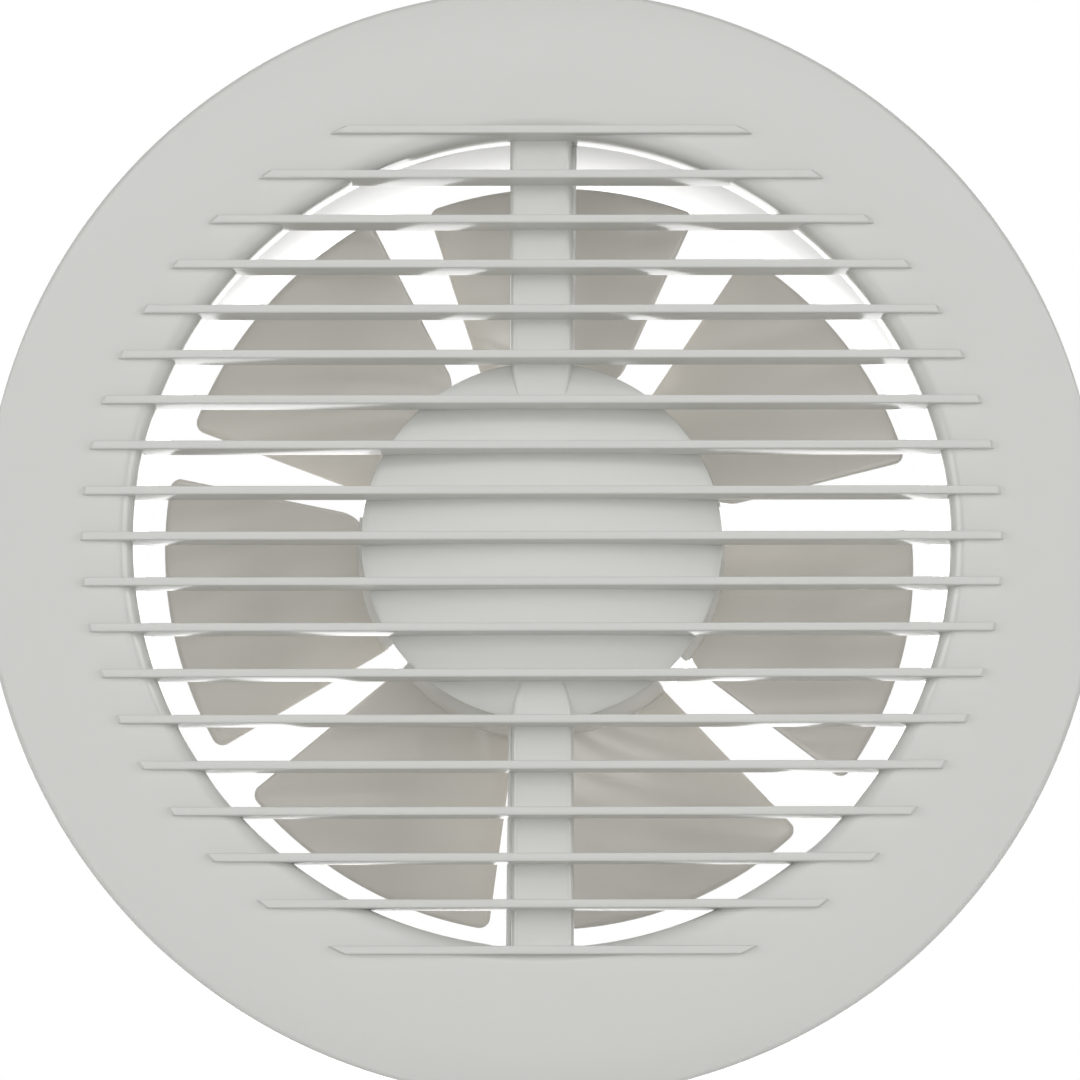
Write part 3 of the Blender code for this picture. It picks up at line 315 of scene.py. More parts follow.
groups = {
    "grain": grainGroup(),
    "dust": maskGroup("settledDust", 0.2, "up", (0.35, 1.0), 140.0, 6.0, 0.7, (0.35, 0.75)),
    "edges": maskGroup("rubbedEdges", 0.5, "corner", (0.53, 0.62), 220.0, 5.0, 0.5, (0.4, 0.6)),
}


dustColour = (0.42, 0.40, 0.36, 1.0)
waveLength = 0.314  # metres after which a wave texture of scale 1 repeats


def tinted(colour, factor=1.0):
    return [min(1.0, part * factor) for part in colour] + [1.0]


class Finish(Nodes):  # a Principled material under construction
    def __init__(self, name, roughness, metallic=0.0, specular=0.5):
        self.material = bpy.data.materials.new(name)
        self.material.use_nodes = True
        super().__init__(self.material.node_tree)
        self.shader = self.nodes["Principled BSDF"]
        self.shader.inputs["Roughness"].default_value = roughness
        self.shader.inputs["Metallic"].default_value = metallic
        self.shader.inputs["Specular IOR Level"].default_value = specular

    def place(self):
        return self.node("ShaderNodeTexCoord").outputs["Object"]

    def mask(self, name, amount):
        return self.node("ShaderNodeGroup", {"Amount": amount}, node_tree=groups[name]).outputs["Mask"]

    def noise(self, place, scale, detail):
        made = self.node("ShaderNodeTexNoise", {"Vector": place, "Scale": scale, "Detail": detail})
        return made.outputs["Fac"]

    def mix(self, factor, first, second):  # sockets 6 and 7 of a colour mix are its two colours
        made = self.node("ShaderNodeMix", {"Factor": factor, 6: first, 7: second}, data_type="RGBA")
        return made.outputs[2]

    def spread(self, value, low, high, start=0.3, end=0.7):
        made = self.node("ShaderNodeMapRange", {"Value": value, "From Min": start, "From Max": end,
                                                "To Min": low, "To Max": high})
        return made.outputs["Result"]

    def bump(self, height, strength, distance):
        made = self.node("ShaderNodeBump", {"Height": height, "Strength": strength,
                                            "Distance": distance * mm})
        self.link(made.outputs["Normal"], self.shader.inputs["Normal"])

    def colour(self, socket):
        self.link(socket, self.shader.inputs["Base Color"])

    def rough(self, socket, low, high):
        self.link(self.spread(socket, low, high), self.shader.inputs["Roughness"])


def plastic(name, colour, roughness, grainScale=2500.0, grainDepth=0.02, dust=0.15, spread=0.03,
            specular=0.5):
    made = Finish(name, roughness, specular=specular)
    grain = made.node("ShaderNodeGroup", {"Scale": grainScale, "Cloud Scale": 35.0},
                      node_tree=groups["grain"])
    cloud = grain.outputs["Cloud"]
    body = made.mix(cloud, tinted(colour, 1 - spread), tinted(colour, 1 + spread))
    worn = made.mix(made.mask("edges", 0.35), body, tinted(colour, 1.08))
    made.colour(made.mix(made.mask("dust", dust), worn, dustColour))
    made.rough(cloud, roughness - 0.03, roughness + 0.04)
    made.bump(grain.outputs["Height"], 0.35, grainDepth)
    return made.material


def metal(name, colour, roughness, brush=(1, 1, 1), grainScale=900.0):
    made = Finish(name, roughness, metallic=1.0)
    stretch = made.node("ShaderNodeMapping", {"Vector": made.place(), "Scale": brush})
    lines = made.noise(stretch.outputs["Vector"], grainScale, 4.0)
    body = made.mix(lines, tinted(colour, 0.88), tinted(colour, 1.06))
    made.colour(made.mix(made.mask("edges", 0.8), body, tinted(colour, 1.3)))
    made.rough(lines, roughness - 0.06, roughness + 0.1)
    made.bump(lines, 0.2, 0.01)
    return made.material


def lined(name, colour, gap, roughness, pitch, depth, wound):  # stacked sheets, or wire wound round the poles
    made = Finish(name, roughness, metallic=1.0)
    place = made.place()
    split = made.node("ShaderNodeSeparateXYZ", {"Vector": place})
    along = split.outputs["Y"]
    if wound:
        along = made.math("MAXIMUM", *[made.math("ABSOLUTE", split.outputs[axis]) for axis in ("X", "Z")])
    where = made.node("ShaderNodeCombineXYZ", {"X": along})
    bands = made.node("ShaderNodeTexWave", {"Vector": where.outputs[0], "Scale": waveLength / (pitch * mm)})
    tone = made.noise(place, 180.0, 4.0)
    ridge = made.spread(bands.outputs["Fac"], 0.0, 1.0, 0.1, 0.6)
    made.colour(made.mix(ridge, tinted(gap), made.mix(tone, tinted(colour, 0.85), tinted(colour, 1.15))))
    made.rough(tone, roughness - 0.06, roughness + 0.12)
    made.bump(bands.outputs["Fac"], 0.8, depth)
    return made.material


smooth = {"grainScale": 900.0, "grainDepth": 0.002, "dust": 0.05}
satin = {"grainDepth": 0.003, "spread": 0.008}
sheath = {"grainScale": 1500.0, "dust": 0.1}
finishes = {
    "cover": plastic("coverPlastic", (0.70, 0.705, 0.677), 0.15, dust=0.05, **satin),
    # painted light: the dome and spine are the cover's own plastic, drawn about 6 per cent lighter to stand
    # in for the light they get between the slats
    "inside": plastic("coverPlasticPaintedLighter", (0.745, 0.75, 0.72), 0.15, dust=0.03, **satin),
    "duct": plastic("housingPlastic", (0.82, 0.82, 0.81), 0.10, 900.0, 0.002, 0.10, 0.012, 0.15),
    # the bracket's white plastic, lifted nearer white so the rear lip of its cup shows as the bright crescent
    # round the dome: partly its own colour, partly a painted highlight
    "bracket": plastic("bracketPlastic", (0.92, 0.92, 0.91), 0.08, spread=0.012, **smooth),
    "impeller": plastic("impellerPlastic", (0.86, 0.83, 0.775), 0.12, spread=0.01, **smooth),
    # painted reflection: the hub is the impeller's own plastic, drawn lighter and less warm than the blades
    # to stand in for the bright background mirrored on its wall
    "hub": plastic("hubPlasticPaintedReflection", (0.88, 0.87, 0.84), 0.08, spread=0.01, **smooth),
    "steel": metal("platedSteel", (0.62, 0.62, 0.60), 0.28, (1, 6, 1)),
    "lamination": lined("laminationSteel", (0.34, 0.34, 0.35), (0.10, 0.09, 0.09), 0.40, 0.5, 0.05, False),
    "zinc": metal("castZinc", (0.60, 0.61, 0.62), 0.40, (1, 1, 1), 350.0),
    "copper": lined("enamelledCopper", (0.60, 0.22, 0.08), (0.10, 0.03, 0.01), 0.26, 0.32, 0.12, True),
    "bronze": metal("sinteredBronze", (0.45, 0.29, 0.13), 0.5, (1, 1, 1), 1500.0),
    "aluminium": metal("castAluminium", (0.72, 0.72, 0.73), 0.38, (1, 1, 1), 500.0),
    "shaft": metal("groundSteel", (0.66, 0.66, 0.66), 0.15, (1, 25, 1), 200.0),
    "brass": metal("terminalBrass", (0.70, 0.50, 0.20), 0.3, (1, 4, 1)),
    "nylon": plastic("naturalNylon", (0.72, 0.70, 0.63), 0.42, dust=0.0),
    "rubber": plastic("softRubber", (0.035, 0.035, 0.036), 0.62, grainScale=1500.0, dust=0.3),
    "brown": plastic("brownSheath", (0.17, 0.06, 0.025), 0.42, **sheath),
    "blue": plastic("blueSheath", (0.03, 0.11, 0.38), 0.42, **sheath),
}


def dress(item, finish, body, slot, *nodes):
    item.data.materials.clear()
    item.data.materials.append(finishes[finish])
    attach(item, body)
    if nodes:
        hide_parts(*nodes)
    return item


# Front cover

cover = {
    "radius": 97.5, "rearRadius": 97.6, "face": -12.8, "wall": 1.8, "rear": -0.3, "edgeRound": 1.0,
    "rearRound": 0.3, "opening": 71.45, "funnelWidth": 3.4, "funnelDepth": 2.6, "funnelStep": 0.01,
    "funnelSteps": 12, "lipRear": -2.8, "lip": 1.65, "lipRound": 0.35, "lipFillet": 1.5, "wallFillet": 1.0,
    "sides": 256,
}


def drawShell(drawing):
    c = cover
    inside = c["face"] + c["wall"]
    inner = c["rearRadius"] - c["wall"]
    lip = c["opening"] + c["lip"]
    outer = softCorners([(inner, c["rear"], c["rearRound"]), (c["rearRadius"], c["rear"], c["rearRound"]),
                         (c["radius"], c["face"], c["edgeRound"]),
                         (c["opening"] + c["funnelWidth"], c["face"], 0)], 5)
    funnel = []
    for step in range(1, c["funnelSteps"] + 1):
        angle = math.radians(90 * step / c["funnelSteps"])
        funnel.append((c["opening"] + c["funnelWidth"] * (1 - math.sin(angle)),
                       c["face"] + c["funnelDepth"] * (1 - math.cos(angle))))
    rest = softCorners([(c["opening"], c["face"] + c["funnelDepth"] + c["funnelStep"], 0),
                        (c["opening"], c["lipRear"], c["lipRound"]), (lip, c["lipRear"], c["lipRound"]),
                        (lip, inside, c["lipFillet"]), (inner, inside, c["wallFillet"]),
                        (inner, c["rear"], 0)])[1:-1]
    addTurned(drawing, outer + funnel + rest, c["sides"])


pegs = {"circle": 87.0, "inner": 0.0, "outer": 1.9, "front": -11.8, "rear": -0.9,
        "angles": (52.0, 128.0, 232.0, 308.0)}


def pegPlaces():
    return [around(angle, pegs["circle"]) for angle in pegs["angles"]]


def drawPegs(drawing):
    for place in pegPlaces():
        addRing(drawing, pegs, (0, 0, 0.5, 0), 24, place)


notch = {"half": 3.9, "low": 69.0, "high": 76.0, "front": -5.8, "rear": -1.0}  # lets the leads through
dome = {"radius": 31.7, "edge": -6.4, "rise": 3.0, "wall": 1.5, "rear": -5.0, "inset": 0.35, "steps": 28,
        "edgeRound": 0.5, "rearRound": 0.2, "fade": -5.3, "sides": 192}


def drawDome(drawing):
    d = dome
    outer = []
    for step in range(d["steps"] + 1):
        radius = (d["radius"] - d["inset"]) * step / d["steps"]
        outer.append((radius, d["edge"] - d["rise"] * (1 - (radius / d["radius"]) ** 2)))
    lip = d["radius"] - d["wall"]
    edge = softCorners([outer[-1] + (0,), (d["radius"], d["edge"] + 0.05, d["edgeRound"]),
                        (d["radius"], d["rear"], d["rearRound"]), (lip, d["rear"], d["rearRound"]),
                        (lip, d["fade"], 0)])[1:-1]
    inner = [(radius, depth + d["wall"]) for radius, depth in outer[:-2]]
    addTurned(drawing, outer + edge + inner[::-1], d["sides"])


spine = {"half": 5.45, "front": -7.7, "rear": -2.9, "wall": 1.5, "round": 1.3, "innerRound": 0.4,
         "open": 32.7, "gap": 0.05, "end": 72.3, "neckRear": -5.4, "neckStart": 24.0, "neckHalf": 4.1,
         "neckEnd": 33.3, "neckSteps": 9}


def drawSpine(drawing):  # a channel that narrows where it runs into the dome
    s = spine
    length = s["open"] - s["gap"] - s["neckStart"]
    steps = s["neckSteps"]
    levels = [(s["neckStart"] + length * step / steps, s["neckRear"]) for step in range(steps + 1)]
    levels += [(s["open"], s["rear"]), (s["neckEnd"], s["rear"]), (s["end"], s["rear"])]
    rounds = (0, s["round"], s["innerRound"])
    for angle in (0, 180):
        place = around(angle)
        sections = []
        for level, rear in levels:
            part = min(1.0, (level - s["neckStart"]) / (s["neckEnd"] - s["neckStart"]))
            half = s["neckHalf"] + (s["half"] - s["neckHalf"]) * math.sin(part * math.pi / 2)
            depths = (rear, s["front"], s["front"] + s["wall"])
            outline = channel(half, half - s["wall"], depths, rounds, 8)
            sections.append(section(outline, level, place))
        addLoft(drawing, sections)


slats = {"count": 19, "pitch": 8.0, "front": -14.0, "rear": -7.1, "endRear": -11.6, "height": 1.45,
         "draft": 0.135, "frontRound": 0.16, "lowRound": 0.288, "reach": 80.4, "deep": 72.25,
         "endBevel": 0.55, "endTaper": 0.1, "lastSection": 5, "slightStep": 0.05}


def drawOneSlat(drawing):  # X holds the number of each cross-section, the tree below gives it its place
    s = slats
    sections = []
    for number in range(-s["lastSection"], s["lastSection"] + 1):
        if number == 0:
            continue
        middle = abs(number) == 1  # the stretch across the opening is deeper
        cut = s["endBevel"] * max(0, abs(number) - 3) / 2
        rear = s["rear"] if middle else s["endRear"]
        draft = s["draft"] if middle else 0.0
        half = s["height"] / 2 - cut * s["endTaper"]
        corners = [(s["front"] + cut, half, s["frontRound"]), (s["front"] + cut, -half, s["lowRound"]),
                   (rear, -half - draft, 0.0), (rear, half, 0.0)]
        sections.append([Vector((number, y, z)) for y, z in softCorners(corners)])
    addLoft(drawing, sections)


def slatTree():
    tree = ShapeTree("slatRow", Pitch=0.008, Reach=0.08, Deep=0.072, Bevel=0.0005, Count=19)
    inputs = tree.inputs
    pitch = inputs["Pitch"]
    steps = tree.math("SUBTRACT", inputs["Count"], 1.0)
    bottom = tree.math("MULTIPLY", tree.math("MULTIPLY", steps, pitch), -0.5)
    start = tree.node("ShaderNodeCombineXYZ", {"Z": bottom}).outputs[0]
    offset = tree.node("ShaderNodeCombineXYZ", {"Z": pitch}).outputs[0]
    row = tree.node("GeometryNodeMeshLine", {"Count": inputs["Count"], "Start Location": start,
                                             "Offset": offset})
    real = tree.copies(row.outputs[0], inputs["Geometry"])
    position = tree.node("GeometryNodeInputPosition").outputs[0]
    x, y, z = tree.node("ShaderNodeSeparateXYZ", {"Vector": position}).outputs
    number = tree.math("DIVIDE", tree.math("ABSOLUTE", x), mm)
    level = tree.math("MULTIPLY", tree.math("ROUND", tree.math("DIVIDE", z, pitch)), pitch)

    def chord(radius, height):
        rest = tree.math("SUBTRACT", tree.math("POWER", radius, 2.0), tree.math("POWER", height, 2.0))
        return tree.math("SQRT", tree.math("MAXIMUM", rest, 0.0))

    fromEnd = tree.math("SUBTRACT", float(slats["lastSection"]), number)
    inset = tree.math("MULTIPLY", fromEnd, tree.math("MULTIPLY", inputs["Bevel"], 0.5))
    far = tree.math("SUBTRACT", chord(inputs["Reach"], z), inset)
    fromMiddle = tree.math("SUBTRACT", number, 1.0)
    near = tree.math("ADD", chord(inputs["Deep"], level),
                     tree.math("MULTIPLY", fromMiddle, slats["slightStep"] * mm))
    outside = tree.math("GREATER_THAN", number, 2.5)
    reach = tree.node("GeometryNodeSwitch", {"Switch": outside, "False": near, "True": far},
                      input_type="FLOAT")
    newX = tree.math("MULTIPLY", tree.math("SIGN", x), reach.outputs[0])
    spot = tree.node("ShaderNodeCombineXYZ", {"X": newX, "Y": y, "Z": z})
    moved = tree.node("GeometryNodeSetPosition", {"Geometry": real, "Position": spot.outputs[0]})
    return tree.coat(moved.outputs[0])


shell = makeObject("coverShell", drawShell)
carve(shell, addBar, notch)
dress(shell, "cover", "cover", "white_cover", "front_cover")
dress(makeObject("coverPegs", drawPegs), "cover", "cover", "white_cover")
# the dome and spine take the cover plastic with painted light, drawn lighter than the shell and slats
dress(makeObject("motorDome", drawDome, sharp=50), "inside", "cover", "white_cover")
dress(makeObject("coverSpine", drawSpine, sharp=40), "inside", "cover", "white_cover")
slatRow = makeObject("coverSlats", drawOneSlat)
runTree(slatRow, slatTree(), {"Pitch": slats["pitch"] * mm, "Reach": slats["reach"] * mm,
                              "Deep": slats["deep"] * mm, "Bevel": slats["endBevel"] * mm,
                              "Count": slats["count"], "Material": finishes["cover"]}, sharp=32)
dress(slatRow, "cover", "cover", "white_cover")
print("front cover done")


# Housing: flange and duct spigot

housing = {"flangeFront": -2.5, "flangeRadius": 95.4, "inner": 73.0, "outer": 74.5, "rear": 46.88,
           "frontRound": 0.4, "backRound": 0.2, "rearRound": 0.5, "twist": 0.75, "screwCircle": 70.4,
           "clampAngle": -30.0, "clampCircle": 87.0, "clampSpacing": 10.0, "inletAngle": -40.0,
           "inletCircle": 85.5, "blockAngle": -17.0, "sides": 256}
holes = {"wall": 2.25, "wallCircle": 87.0, "wallAngles": (75.0, 105.0, 255.0, 285.0), "peg": 2.2,
         "pilot": 1.4, "inlet": 6.0, "front": -4.0, "rear": 1.0, "sides": 40}


def clampPlaces(depth=0.0):
    h = housing
    return [around(h["clampAngle"], h["clampCircle"] + shift * h["clampSpacing"], depth)
            for shift in (-0.5, 0.5)]


def inletPlace():
    return around(housing["inletAngle"], housing["inletCircle"])


def blockPlace(depth=0.0):
    return around(housing["blockAngle"], housing["inletCircle"], depth)


def armPlaces(radius=0.0, depth=0.0):  # the arms lie a little askew behind the spine
    return [around(angle, radius, depth) for angle in (housing["twist"], housing["twist"] + 180)]


def drawHole(drawing, place, radius, front, rear, sides=32):
    addTurned(drawing, [(0, front), (radius, front), (radius, rear), (0, rear)], sides, place)


def drawHousing(drawing):
    h = housing
    profile = softCorners([(h["inner"], h["flangeFront"], h["frontRound"]),
                           (h["flangeRadius"], h["flangeFront"], h["frontRound"]),
                           (h["flangeRadius"], 0, h["backRound"]), (h["outer"], 0, 0),
                           (h["outer"], h["rear"], h["rearRound"]), (h["inner"], h["rear"], h["rearRound"])])
    addTurned(drawing, profile, h["sides"])


def drawHousingHoles(drawing):
    spots = [(around(angle, holes["wallCircle"]), "wall") for angle in holes["wallAngles"]]
    spots += [(place, "peg") for place in pegPlaces()]
    spots += [(place, "pilot") for place in clampPlaces()]
    spots += [(inletPlace(), "inlet"), (blockPlace(), "pilot")]
    for place, kind in spots:
        drawHole(drawing, place, holes[kind], holes["front"], holes["rear"], holes["sides"])


pegSocket = {"inner": holes["peg"], "outer": 3.6, "front": -8.0, "rear": -2.3, "taper": 0.25}
clampPost = {"inner": holes["pilot"], "outer": 2.4, "front": -6.7, "rear": -2.3}


def drawSockets(drawing):
    for place in pegPlaces():
        addRing(drawing, pegSocket, (0.3, 0.4, 0, 0), 40, place, pegSocket["taper"])
    for place in clampPlaces():
        addRing(drawing, clampPost, (0.2, 0.3, 0, 0), 32, place)


ledge = {"low": 67.9, "high": 73.4, "front": 3.3, "rear": 8.6, "half": 5.45, "round": 1.2}


def drawLedges(drawing):  # carry the bracket's arms
    low, high, half, soft = (ledge[key] for key in ("low", "high", "half", "round"))
    for place in armPlaces():
        outline = softCorners([(-half, low, soft), (half, low, soft), (half, high, 0), (-half, high, 0)], 5)
        hole = circle(holes["pilot"], 24, 0, housing["screwCircle"])
        addPlate(drawing, [outline, hole], ledge["front"], ledge["rear"], place)


duct = makeObject("housingBody", drawHousing)
carve(duct, drawHousingHoles)
dress(duct, "duct", "base", "white_housing", "housing")
dress(makeObject("pegSockets", drawSockets), "duct", "base", "white_housing")
dress(makeObject("bracketLedges", drawLedges), "duct", "base", "white_housing")
print("housing done")


# Motor bracket

bracket = {"cupFront": -4.6, "cupRadius": 31.7, "flareFront": -0.5, "flare": 0.05, "cupRearRadius": 32.7,
           "cupWall": 1.8, "cupRear": 3.0, "barrelInner": 27.2, "barrelOuter": 29.0, "shoulder": 10.8,
           "shoulderInner": 21.8, "noseOuter": 23.3, "noseRear": 18.0, "floor": 1.5, "seat": 4.5,
           "seatFront": 13.7, "boss": 6.2, "bossLength": 0.6, "lip": 3.0, "lipDepth": 0.1, "sides": 192,
           "tieCircle": 24.4, "tieAngles": (45.0, 225.0)}


def drawBracketBody(drawing):
    b = bracket
    cupInner = b["cupRadius"] - b["cupWall"]
    cupFloor = b["cupRear"] - b["cupWall"]
    step = b["shoulder"] + b["floor"]
    inside = b["noseRear"] - b["floor"]
    bossRear = b["noseRear"] + b["bossLength"]
    seatRear = b["noseRear"] - b["lipDepth"]
    corners = [(b["cupRadius"], b["cupFront"], 0.5), (b["cupRadius"] + b["flare"], b["flareFront"], 0),
               (b["cupRearRadius"], b["cupRear"], 0.3), (b["barrelOuter"], b["cupRear"], 0.5),
               (b["barrelOuter"], step, 1.2), (b["noseOuter"], step, 0.6),
               (b["noseOuter"], b["noseRear"], 1.2), (b["boss"], b["noseRear"], 0.2),
               (b["boss"], bossRear, 0.2), (b["lip"], bossRear, 0.1), (b["lip"], seatRear, 0),
               (b["seat"], seatRear, 0), (b["seat"], b["seatFront"], 0.1), (b["boss"], b["seatFront"], 0.3),
               (b["boss"], inside, 0.5), (b["shoulderInner"], inside, 0.8),
               (b["shoulderInner"], b["shoulder"], 0.2), (b["barrelInner"], b["shoulder"], 0.2),
               (b["barrelInner"], cupFloor, 0.4), (cupInner + 0.3, cupFloor, 0.8),
               (cupInner, b["cupFront"], 0.5)]
    addTurned(drawing, softCorners(corners), b["sides"], around(housing["twist"]))


window = {"half": 3.2, "low": 28.7, "high": 33.7, "front": -1.6, "rear": 0.9}  # for the leads
arm = {"half": 5.45, "wall": 1.5, "front": -2.4, "rear": 2.98, "floor": 1.5, "start": 30.9, "end": 72.7,
       "footRound": 0.4, "backRound": 0.9, "floorRound": 0.5, "holeFront": 0.0, "holeRear": 5.0}


def drawArms(drawing):
    outline = channel(arm["half"], arm["half"] - arm["wall"], (arm["front"], arm["rear"], arm["floor"]),
                      (arm["footRound"], arm["backRound"], arm["floorRound"]))
    for place in armPlaces():
        addLoft(drawing, [section(outline, level, place) for level in (arm["start"], arm["end"])])


def drawArmHoles(drawing):
    for place in armPlaces(housing["screwCircle"]):
        drawHole(drawing, place, holes["pilot"], arm["holeFront"], arm["holeRear"], 24)


def tiePlaces(depth=0.0):
    return [around(housing["twist"] + angle, bracket["tieCircle"], depth) for angle in bracket["tieAngles"]]


body = makeObject("bracketBody", drawBracketBody)
carve(body, addBar, window, around(housing["twist"]))
# the bracket takes its white plastic lifted by a painted highlight
dress(body, "bracket", "base", "white_bracket", "motor_bracket")
arms = makeObject("bracketArms", drawArms)
carve(arms, drawArmHoles)
dress(arms, "bracket", "base", "white_bracket")
print("motor bracket done")


# Impeller

hub = {"front": 3.8, "rear": 24.0, "radius": 32.5, "frontRadius": 31.8, "rearRadius": 32.9, "flareRear": 8.5,
       "flareStep": 0.1, "wall": 1.7, "floorFront": 19.5, "floorRear": 21.5, "boss": 6.0, "bossRear": 29.5,
       "bore": 2.3, "sides": 192}
blade = {"count": 7, "tip": 67.35, "root": 31.6, "thickness": 1.6, "farAngle": -17.67, "nearAngle": 24.54,
         "farDepth": 22.2, "nearDepth": 10.4, "corner": 2.0, "freeLength": 7.0, "freeLift": 3.2,
         "rim": (0.0, 0.06, 0.22, 0.5, 0.9, 1.4, 2.0), "across": 22, "along": 14, "merge": 0.0005}
rib = {"count": 7, "inner": 5.5, "outer": 31.0, "front": 21.2, "rear": 23.2, "half": 0.6, "round": 0.3,
       "shift": 12.0}


def drawHub(drawing):
    h = hub
    inner = h["radius"] - h["wall"]
    corners = [(inner, h["front"], 0.3), (h["frontRadius"], h["front"], 0.2),
               (h["rearRadius"] - h["flareStep"], h["flareRear"], 0), (h["rearRadius"], h["rear"], 0.5),
               (inner, h["rear"], 0.5), (inner, h["floorRear"], 0.8), (h["boss"], h["floorRear"], 0.8),
               (h["boss"], h["bossRear"], 0.4), (h["bore"], h["bossRear"], 0.3),
               (h["bore"], h["floorFront"], 0), (inner, h["floorFront"], 0.6)]
    addTurned(drawing, softCorners(corners), h["sides"])


def bladePoint(side, s, r, width, span):  # s runs along the blade's tip, r from its root outwards
    p = blade
    near = min(s, width - s)
    bite = max(0.0, p["corner"] - near)
    drop = p["corner"] - math.sqrt(p["corner"] ** 2 - bite ** 2)
    angle = math.radians(p["farAngle"] + (p["nearAngle"] - p["farAngle"]) * s / width)
    middle = p["farDepth"] + (p["nearDepth"] - p["farDepth"]) * s / width
    free = max(0.0, 1 - (width - s) / p["freeLength"])
    lift = p["freeLift"] * free ** 2 + (drop if free > 0 else 0.0)
    half = p["thickness"] / 2
    rim = min(near, span - r)
    full = 1.0 if rim > half else math.sqrt(max(0.0, 1 - (1 - rim / half) ** 2))
    radius = p["root"] + lift + r * (span - drop - lift) / span
    return Vector((radius * math.sin(angle), middle + side * half * full, radius * math.cos(angle)))


def drawOneBlade(drawing):  # a twisted sheet, rounded off all round its rim
    p = blade
    rim = p["rim"]
    width = math.radians(p["nearAngle"] - p["farAngle"]) * p["tip"]
    span = p["tip"] - p["root"]
    between = width - 2 * rim[-1]
    across = [*rim] + [rim[-1] + between * part / p["across"] for part in range(1, p["across"])]
    across += [width - s for s in rim[::-1]]
    along = [span * part / p["along"] for part in range(p["along"])] + [span - s for s in rim[::-1]]
    grids = []
    for side in (-1, 1):
        grid = [[drawing.verts.new(bladePoint(side, s, r, width, span)) for r in along] for s in across]
        for a, b in zip(grid, grid[1:]):
            for row in range(len(along) - 1):
                drawing.faces.new((a[row], a[row + 1], b[row + 1], b[row]))
        grids.append(grid)
    front, rear = grids
    for column in range(len(across) - 1):  # closes the root
        after = column + 1
        drawing.faces.new((front[column][0], front[after][0], rear[after][0], rear[column][0]))
    bmesh.ops.remove_doubles(drawing, verts=drawing.verts, dist=p["merge"])


def drawOneRib(drawing):  # stiffens the hub's floor from behind
    half, front, rear, soft = (rib[key] for key in ("half", "front", "rear", "round"))
    place = around(rib["shift"])
    outline = softCorners([(-half, front, 0), (-half, rear, soft), (half, rear, soft), (half, front, 0)])
    addLoft(drawing, [section(outline, level, place) for level in (rib["inner"], rib["outer"])])


def ringTree(name):  # copies set evenly round the fan's axis
    tree = ShapeTree(name, Count=7)
    count = tree.inputs["Count"]
    points = tree.node("GeometryNodePoints", {"Count": count})
    share = tree.math("DIVIDE", tree.node("GeometryNodeInputIndex").outputs[0], count)
    turn = tree.node("ShaderNodeCombineXYZ", {"Y": tree.math("MULTIPLY", share, 2 * math.pi)})
    return tree.coat(tree.copies(points.outputs[0], tree.inputs["Geometry"], Rotation=turn.outputs[0]))


def setRing(name, draw, group, count, sharp):
    item = makeObject(name, draw, sharp=sharp)
    runTree(item, ringTree(group), {"Count": count, "Material": finishes["impeller"]}, sharp=sharp)
    dress(item, "impeller", "rotor", "impeller_plastic")


# the hub takes the impeller plastic with a painted reflection, lighter than the blades
dress(makeObject("impellerHub", drawHub), "hub", "rotor", "impeller_plastic", "impeller")
setRing("impellerBlades", drawOneBlade, "bladeRing", blade["count"], 60)
setRing("impellerRibs", drawOneRib, "ribRing", rib["count"], 32)
print("impeller done")


# Screws

screws = {
    "sides": 40, "seed": 11, "turn": math.pi / 2, "domeSteps": 8, "domeStart": 0.35, "brim": 0.12,
    "plain": 0.4, "pitch": 0.8, "pitchSteps": 8, "threadDepth": 0.2, "threadLength": 6.0, "point": 0.9,
    "pointStart": 0.35, "recess": 0.95, "recessRise": 0.2, "crossReach": 0.58, "crossHalf": 0.14,
    "crossFloor": 0.5, "crossTaper": 0.6,
    "bracket": {"head": 1.9, "height": 1.6, "shank": 1.1, "length": 6.0, "seat": 1.2},
    "tie": {"head": 2.4, "height": 1.6, "shank": 1.3, "length": 18.6, "seat": -3.9},
    "fixing": {"head": 1.9, "height": 1.6, "shank": 1.1, "length": 5.4, "blockSeat": -6.3, "clampSeat": -8.9},
    "terminal": {"inner": 0.0, "outer": 1.2, "front": 0.0, "rear": 2.8, "depth": -9.3, "along": 4.8,
                 "across": 2.25},
}
screwSlot = {"half": 1.7, "low": -0.2, "high": 0.2, "front": -1.0, "rear": 0.7}


def threadAt(depth, crest):
    return lambda share: crest - screws["threadDepth"] * abs(2 * ((depth / screws["pitch"] + share) % 1) - 1)


def drawScrew(drawing, size):  # domed head and threaded shank, with the head's seat at the origin
    s = screws
    head, height, shank, length = (size[key] for key in ("head", "height", "shank", "length"))
    profile = []
    for step in range(s["domeSteps"] + 1):
        angle = math.pi / 2 * step / s["domeSteps"]
        rise = s["domeStart"] + (1 - s["domeStart"]) * math.cos(angle)
        profile.append((head * math.sin(angle), -height * rise))
    profile += [(head, -s["brim"]), (head - s["brim"], 0), (shank, 0)]
    start = max(s["plain"], length - s["threadLength"])
    count = round((length - start) / s["pitch"] * s["pitchSteps"])
    for step in range(count):
        depth = start + (length - start) * step / count
        point = s["pointStart"] + (1 - s["pointStart"]) * (length - depth) / s["point"]
        profile.append((threadAt(depth, shank * min(1.0, point)), depth))
    addTurned(drawing, profile + [(0, length)], s["sides"])


def drawCross(drawing, size):
    s = screws
    sections = []
    for depth, share in ((-s["recessRise"], 1.0), (s["recess"], s["crossFloor"])):
        reach = size["head"] * s["crossReach"] * share
        half = size["head"] * s["crossHalf"] * (1 - s["crossTaper"] + s["crossTaper"] * share)
        quarter = [(half, reach), (half, half), (reach, half), (reach, -half), (half, -half), (half, -reach)]
        cross = quarter + [(-x, -z) for x, z in quarter]
        sections.append([Vector((x, depth - size["height"], z)) for x, z in cross])
    addLoft(drawing, sections)


def drawTerminalScrew(drawing, size):
    addRing(drawing, size, (0, 0.2, 0.2, 0), screws["sides"])


